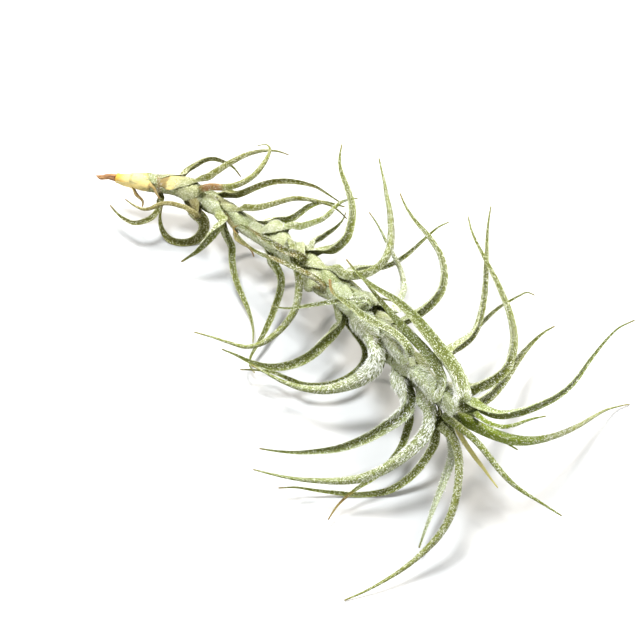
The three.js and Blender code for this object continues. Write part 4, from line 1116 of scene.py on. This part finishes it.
# Stem: felted skin that swells up to the sheaths it carries, and a bare woody foot
stemShape = {
    "seed": 71,
    "around": 64,
    "spacing": 0.7,  # mm along
    "felt": (  # mm that felt adds to the radius, by mm from the foot
        (0, 0.45), (70, 0.45), (95, 1.5), (110, 3), (130, 3), (145, 1.8), (165, 0.6),
    ),
    "bare": (9.0, 14.0),  # mm from the foot, where the felt begins and where it is full
    "leastFelt": 0.05,  # with less than this the skin keeps to the stem
    "sheathShare": 0.03,  # a leaf is sheath up to this share of its blade
    "sheathFrom": -0.5,  # mm along the leaf
    "sheathWithin": 3,  # mm over the bare stem
    "underSheath": 0.05,  # mm between the skin and a sheath over it
    "leastRadius": 0.9,  # of the bare stem's
    "mostUnder": 0.5,  # mm that the skin rises over its felt beneath a sheath
    "mostBeside": 1.2,  # and beside one
    "searchFrom": 0.3,  # mm over the felt
    "blend": 2.4,  # mm over which the skin comes up to a sheath beside it
    "smoothings": 2,
    "wave": 0.05,  # mm
    "tipEnds": (-1.2, 0.4),  # mm from the end, over which it closes
    "tipLeast": 0.05,  # left of it at the end, squared
    "bands": (17.2, 32.5),  # mm from the foot, brown rings left by lost leaves
    "bandWidth": 1.2,
    "fullRise": 0.6,  # mm
    "felting": (0.45, 0.4),  # on the open skin, and what a full rise adds
    "patternTurn": 3.0,  # mm of the pattern to a radian
}


def clasping(mesh, triangles):
    share, along = readValue(mesh, "share")[triangles], readValue(mesh, "along")[triangles]
    return (share.max(axis=1) < stemShape["sheathShare"]) & (along.min(axis=1) > stemShape["sheathFrom"])


# How far the skin reaches in each direction: up to the sheath over it, or rising towards one beside it
def stemReach(line, ahead, away, thick, base, felted):
    shape = stemShape
    tree = treeOver([skin.data for skin in leafSkins.values()], clasping)
    reach = np.repeat(base[:, None], shape["around"], axis=1)
    for k in np.flatnonzero(felted >= shape["leastFelt"]):
        start, onwards = Vector(line[k]), Vector(ahead[k])
        for i in range(shape["around"]):
            direction = Vector(away[k, i])
            gap = tree.ray_cast(start, direction, thick[k] + shape["sheathWithin"])[3]
            if gap is not None:
                inside = max(gap - shape["underSheath"], thick[k] * shape["leastRadius"])
                reach[k, i] = min(inside, base[k] + shape["mostUnder"])
                continue
            outside = start + direction * (base[k] + shape["searchFrom"])
            near, _, _, gap = tree.find_nearest(outside, shape["blend"])
            if near is not None:
                offset = near - start
                offset -= onwards * offset.dot(onwards)
                rise = min(offset.length, base[k] + shape["mostBeside"]) - base[k]
                reach[k, i] = base[k] + rise * (1 - smoothStep(gap, 0, shape["blend"])) * felted[k]
    for _ in range(shape["smoothings"]):  # each place keeps half and takes the rest from its four neighbours
        around = np.roll(reach, 1, axis=1) + np.roll(reach, -1, axis=1)
        padded = np.pad(reach, ((1, 1), (0, 0)), mode="edge")
        reach = reach * 0.5 + (around + padded[:-2] + padded[2:]) * 0.125
    return reach


def buildStem():
    shape = stemShape
    draw = np.random.default_rng(shape["seed"])
    total = stemWanted[-1]
    wanted = np.linspace(0, total, round(total / shape["spacing"]) + 1)
    line = np.stack([np.interp(wanted, stemWanted, stemLine[:, n]) for n in range(3)], axis=1)
    ahead = unit(np.stack([np.interp(wanted, stemWanted, stemAhead[:, n]) for n in range(3)], axis=1))
    thick = np.interp(wanted, stemWanted, stemThick)
    angle, away = spokesOf(ahead, shape["around"])
    felted = smoothStep(wanted, *shape["bare"])
    base = thick + valueAt(wanted, shape["felt"]) * felted
    reach = stemReach(line, ahead, away, thick, base, felted)
    reach = reach + draw.normal(0, 1, reach.shape) * shape["wave"] * felted[:, None]
    starts, ends = shape["tipEnds"]
    closing = 1 - smoothStep(wanted, total + starts, total + ends) ** 2
    closing = np.sqrt(np.clip(closing, shape["tipLeast"], 1))
    skin = line[:, None] + away * (reach * closing[:, None])[:, :, None]

    rows, count = reach.shape
    none = np.zeros(rows * count)
    along = np.repeat(wanted, count)
    risen = np.clip((reach - base[:, None]) / shape["fullRise"], 0, 1).ravel()
    bands = sum(np.exp(-(((wanted - at) / shape["bandWidth"]) ** 2)) for at in shape["bands"])
    values = {
        "along": along,
        "share": none - 0.1,  # all of it below the blades
        "innerFace": none,
        "withering": none,
        "fluff": none,
        "cream": np.repeat(1 - felted, count),
        "sideways": none,
        "scaly": none + 1,
        "felting": np.repeat(felted, count) * (shape["felting"][0] + shape["felting"][1] * risen),
        "banding": np.repeat(bands, count),
        "leafPlace": np.stack([np.tile(angle * shape["patternTurn"], rows), along, none], axis=1),
    }
    piece = roundPiece("stem_skin", skin, values)
    bpy.ops.object.shade_smooth()
    addValues(piece.data, {"skyward": skywardOf(piece.data)})
    return piece


stemFinish = {
    "gloss": {"Roughness": 0.7, "Specular IOR Level": 0.25},
    "relief": (0.6, 0.00015),
    "ochre": (0.62, 0.38, 0.06, 1),
    "cream": (0.78, 0.64, 0.28, 1),
    "felt": (0.6, 0.63, 0.42, 1),
    "green": (0.17, 0.2, 0.05, 1),
    # painted shade, which the stem's creases darken towards
    "dark": (0.07, 0.075, 0.015, 1),
    "brown": (0.2, 0.1, 0.04, 1),
    "patchSize": (0.45, 0.3, 1),  # to the millimetre, around the stem and along it
    "fibreSize": (2.4, 0.35, 1),
    "wander": 6.0,  # mm, by which the colours of the foot run into one another
    "ochreEnds": (0.5, 5.0),  # mm from the foot
    "ochreFibres": (0.5, 0.75),
    "ochreFibre": 0.5,
    "feltFrom": (9.0, 13.5),
    "feltMost": 0.9,
    # felt taken away in creases, as painted shade
    "feltLostToCreaseShade": 0.6,
    "dots": 0.5,
    "bandFibres": (0.3, 0.55),
    "band": 0.85,
}


def stemMaterial():
    finish = stemFinish
    material, shader = newMaterial("stem_skin", finish["gloss"])
    desk = NodeDesk(material.node_tree)
    place = desk.vector("leafPlace")
    patches = desk.noise(place, finish["patchSize"], 3.0)
    fibres = desk.noise(place, finish["fibreSize"], 4.0, 0.6)
    along = desk.plus(desk.value("along"), desk.times(desk.minus(patches, 0.5), finish["wander"]))
    wood = desk.mix(desk.ramp(along, finish["ochreEnds"]), finish["ochre"], finish["cream"])
    ochre = desk.times(desk.ramp(fibres, finish["ochreFibres"]), finish["ochreFibre"])
    wood = desk.mix(ochre, wood, finish["ochre"])

    inputs = {"Place": place, "Felting": desk.value("felting")}
    dots = desk.add("ShaderNodeGroup", inputs, node_tree=scaleDots).outputs
    # Painted shade: the stem's green darkens and its felt thins in creases
    creaseShade = desk.ramp(desk.value("shelter"), feltLook["creased"])
    felted = desk.minus(finish["feltMost"], desk.times(creaseShade, finish["feltLostToCreaseShade"]))
    ground = desk.mix(creaseShade, finish["green"], finish["dark"])
    felt = desk.mix(desk.times(dots["Felt"], felted), ground, finish["felt"])
    felt = desk.mix(desk.times(dots["Dots"], finish["dots"]), felt, finish["felt"])
    colour = desk.mix(desk.ramp(along, finish["feltFrom"]), wood, felt)
    band = desk.times(desk.value("banding"), desk.ramp(fibres, finish["bandFibres"]))
    colour = desk.mix(desk.times(band, finish["band"]), colour, finish["brown"])
    desk.feed(shader, "Base Color", colour)
    addRelief(desk, shader, desk.plus(dots["Height"], fibres), *finish["relief"])
    return material


stemSkin = buildStem()
stemSkin.data.materials.append(stemMaterial())
print("stem skin built")

# How hemmed in each skin is, which paints shade into its creases
allSkins = [skin.data for skin in leafSkins.values()] + [stemSkin.data]
allTree = treeOver(allSkins)
for mesh in allSkins:
    addValues(mesh, {"shelter": shelterOf(mesh, allTree)})
print("creases found")

# The stem's scales are a green leaf's, a little fewer
stemScales = {"seed": 72, "density": 0.8, "colours": "leaf_green"}


def dressed(skin, node, draw, density, colours):
    scales = buildScales(skin, draw, density)
    scales.data.materials.append(scaleMaterials[colours])
    joined(skin, scales)
    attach(skin, "root")
    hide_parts(node)
    return len(readTriangles(skin.data))


leafTriangles = sum(
    dressed(leafSkins[node], node, leafDraws[node], 1.0, slotOf[node]) for node in leafNodes
)
stemDraw = np.random.default_rng(stemScales["seed"])
stemTriangles = dressed(stemSkin, "stem", stemDraw, stemScales["density"], stemScales["colours"])
print("scales grown:", leafTriangles, "triangles on the leaves,", stemTriangles, "on the stem")


# Root: a dry woody stub, fibrous and pointed
rootShape = {
    "seed": 73,
    "around": 20,
    "spacing": 0.35,  # mm along
    "swelling": 1.45,  # against the CAD root's radius
    "ridges": 7,
    "ridgeHeight": 0.09,  # of the radius
    "ridgeTwist": 2.5,  # radians from end to end
    "ridgeStart": (0, 6),
    "knots": 12,
    "knotHeight": 0.06,
    "pointed": (0.3, 0.8),  # how much of the radius is left at the tip, and from what share on it narrows
}


def buildRoot():
    shape = rootShape
    draw = np.random.default_rng(shape["seed"])
    middle, radius = axisOf("root", cadRings["aroundRoot"])
    if middle[0, 0] < middle[-1, 0]:
        middle, radius = middle[::-1], radius[::-1]
    stations = lengthsAlong(middle)
    wanted = np.linspace(0, stations[-1], round(stations[-1] / shape["spacing"]) + 1)
    share = wanted / wanted[-1]
    line = alongRings(middle[:, None], stations, wanted)[:, 0]
    angle, away = spokesOf(unit(np.gradient(line, axis=0)), shape["around"])
    left, since = shape["pointed"]
    thick = np.interp(wanted, stations, radius) * shape["swelling"]
    thick = thick * (1 - (1 - left) * smoothStep(share, since, 1.0))
    turn = shape["ridges"] * angle[None] + shape["ridgeTwist"] * share[:, None]
    ridges = np.sin(turn + draw.uniform(*shape["ridgeStart"]))
    knots = draw.normal(0, shape["knotHeight"], shape["knots"])
    knots = np.interp(wanted, np.linspace(0, wanted[-1], shape["knots"]), knots)
    reach = thick[:, None] * (1 + shape["ridgeHeight"] * ridges + knots[:, None])
    piece = roundPiece("root_skin", line[:, None] + away * reach[:, :, None], {"ridge": ridges.ravel()})
    smoothed(piece)
    return piece


rootFinish = {
    "gloss": {"Roughness": 0.75},
    "relief": (0.7, 0.0002),
    "grainSize": (300.0, 1600.0, 1600.0),  # to the metre
    "grain": (0.35, 0.7),
    "dark": (0.13, 0.05, 0.02, 1),
    "brown": (0.5, 0.26, 0.09, 1),
    "ridges": (0.2, 1.0),
    "ridge": 0.4,
    "worn": (0.62, 0.4, 0.2, 1),
}


def rootMaterial():
    finish = rootFinish
    material, shader = newMaterial("root_skin", finish["gloss"])
    desk = NodeDesk(material.node_tree)
    place = desk.add("ShaderNodeTexCoord", {}).outputs["Object"]
    grain = desk.noise(place, finish["grainSize"], 4.0, 0.6)
    colour = desk.mix(desk.ramp(grain, finish["grain"]), finish["dark"], finish["brown"])
    ridges = desk.times(desk.ramp(desk.value("ridge"), finish["ridges"]), finish["ridge"])
    desk.feed(shader, "Base Color", desk.mix(ridges, colour, finish["worn"]))
    addRelief(desk, shader, grain, *finish["relief"])
    return material


root = buildRoot()
root.data.materials.append(rootMaterial())
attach(root, "root")
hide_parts("root")
print("root built")
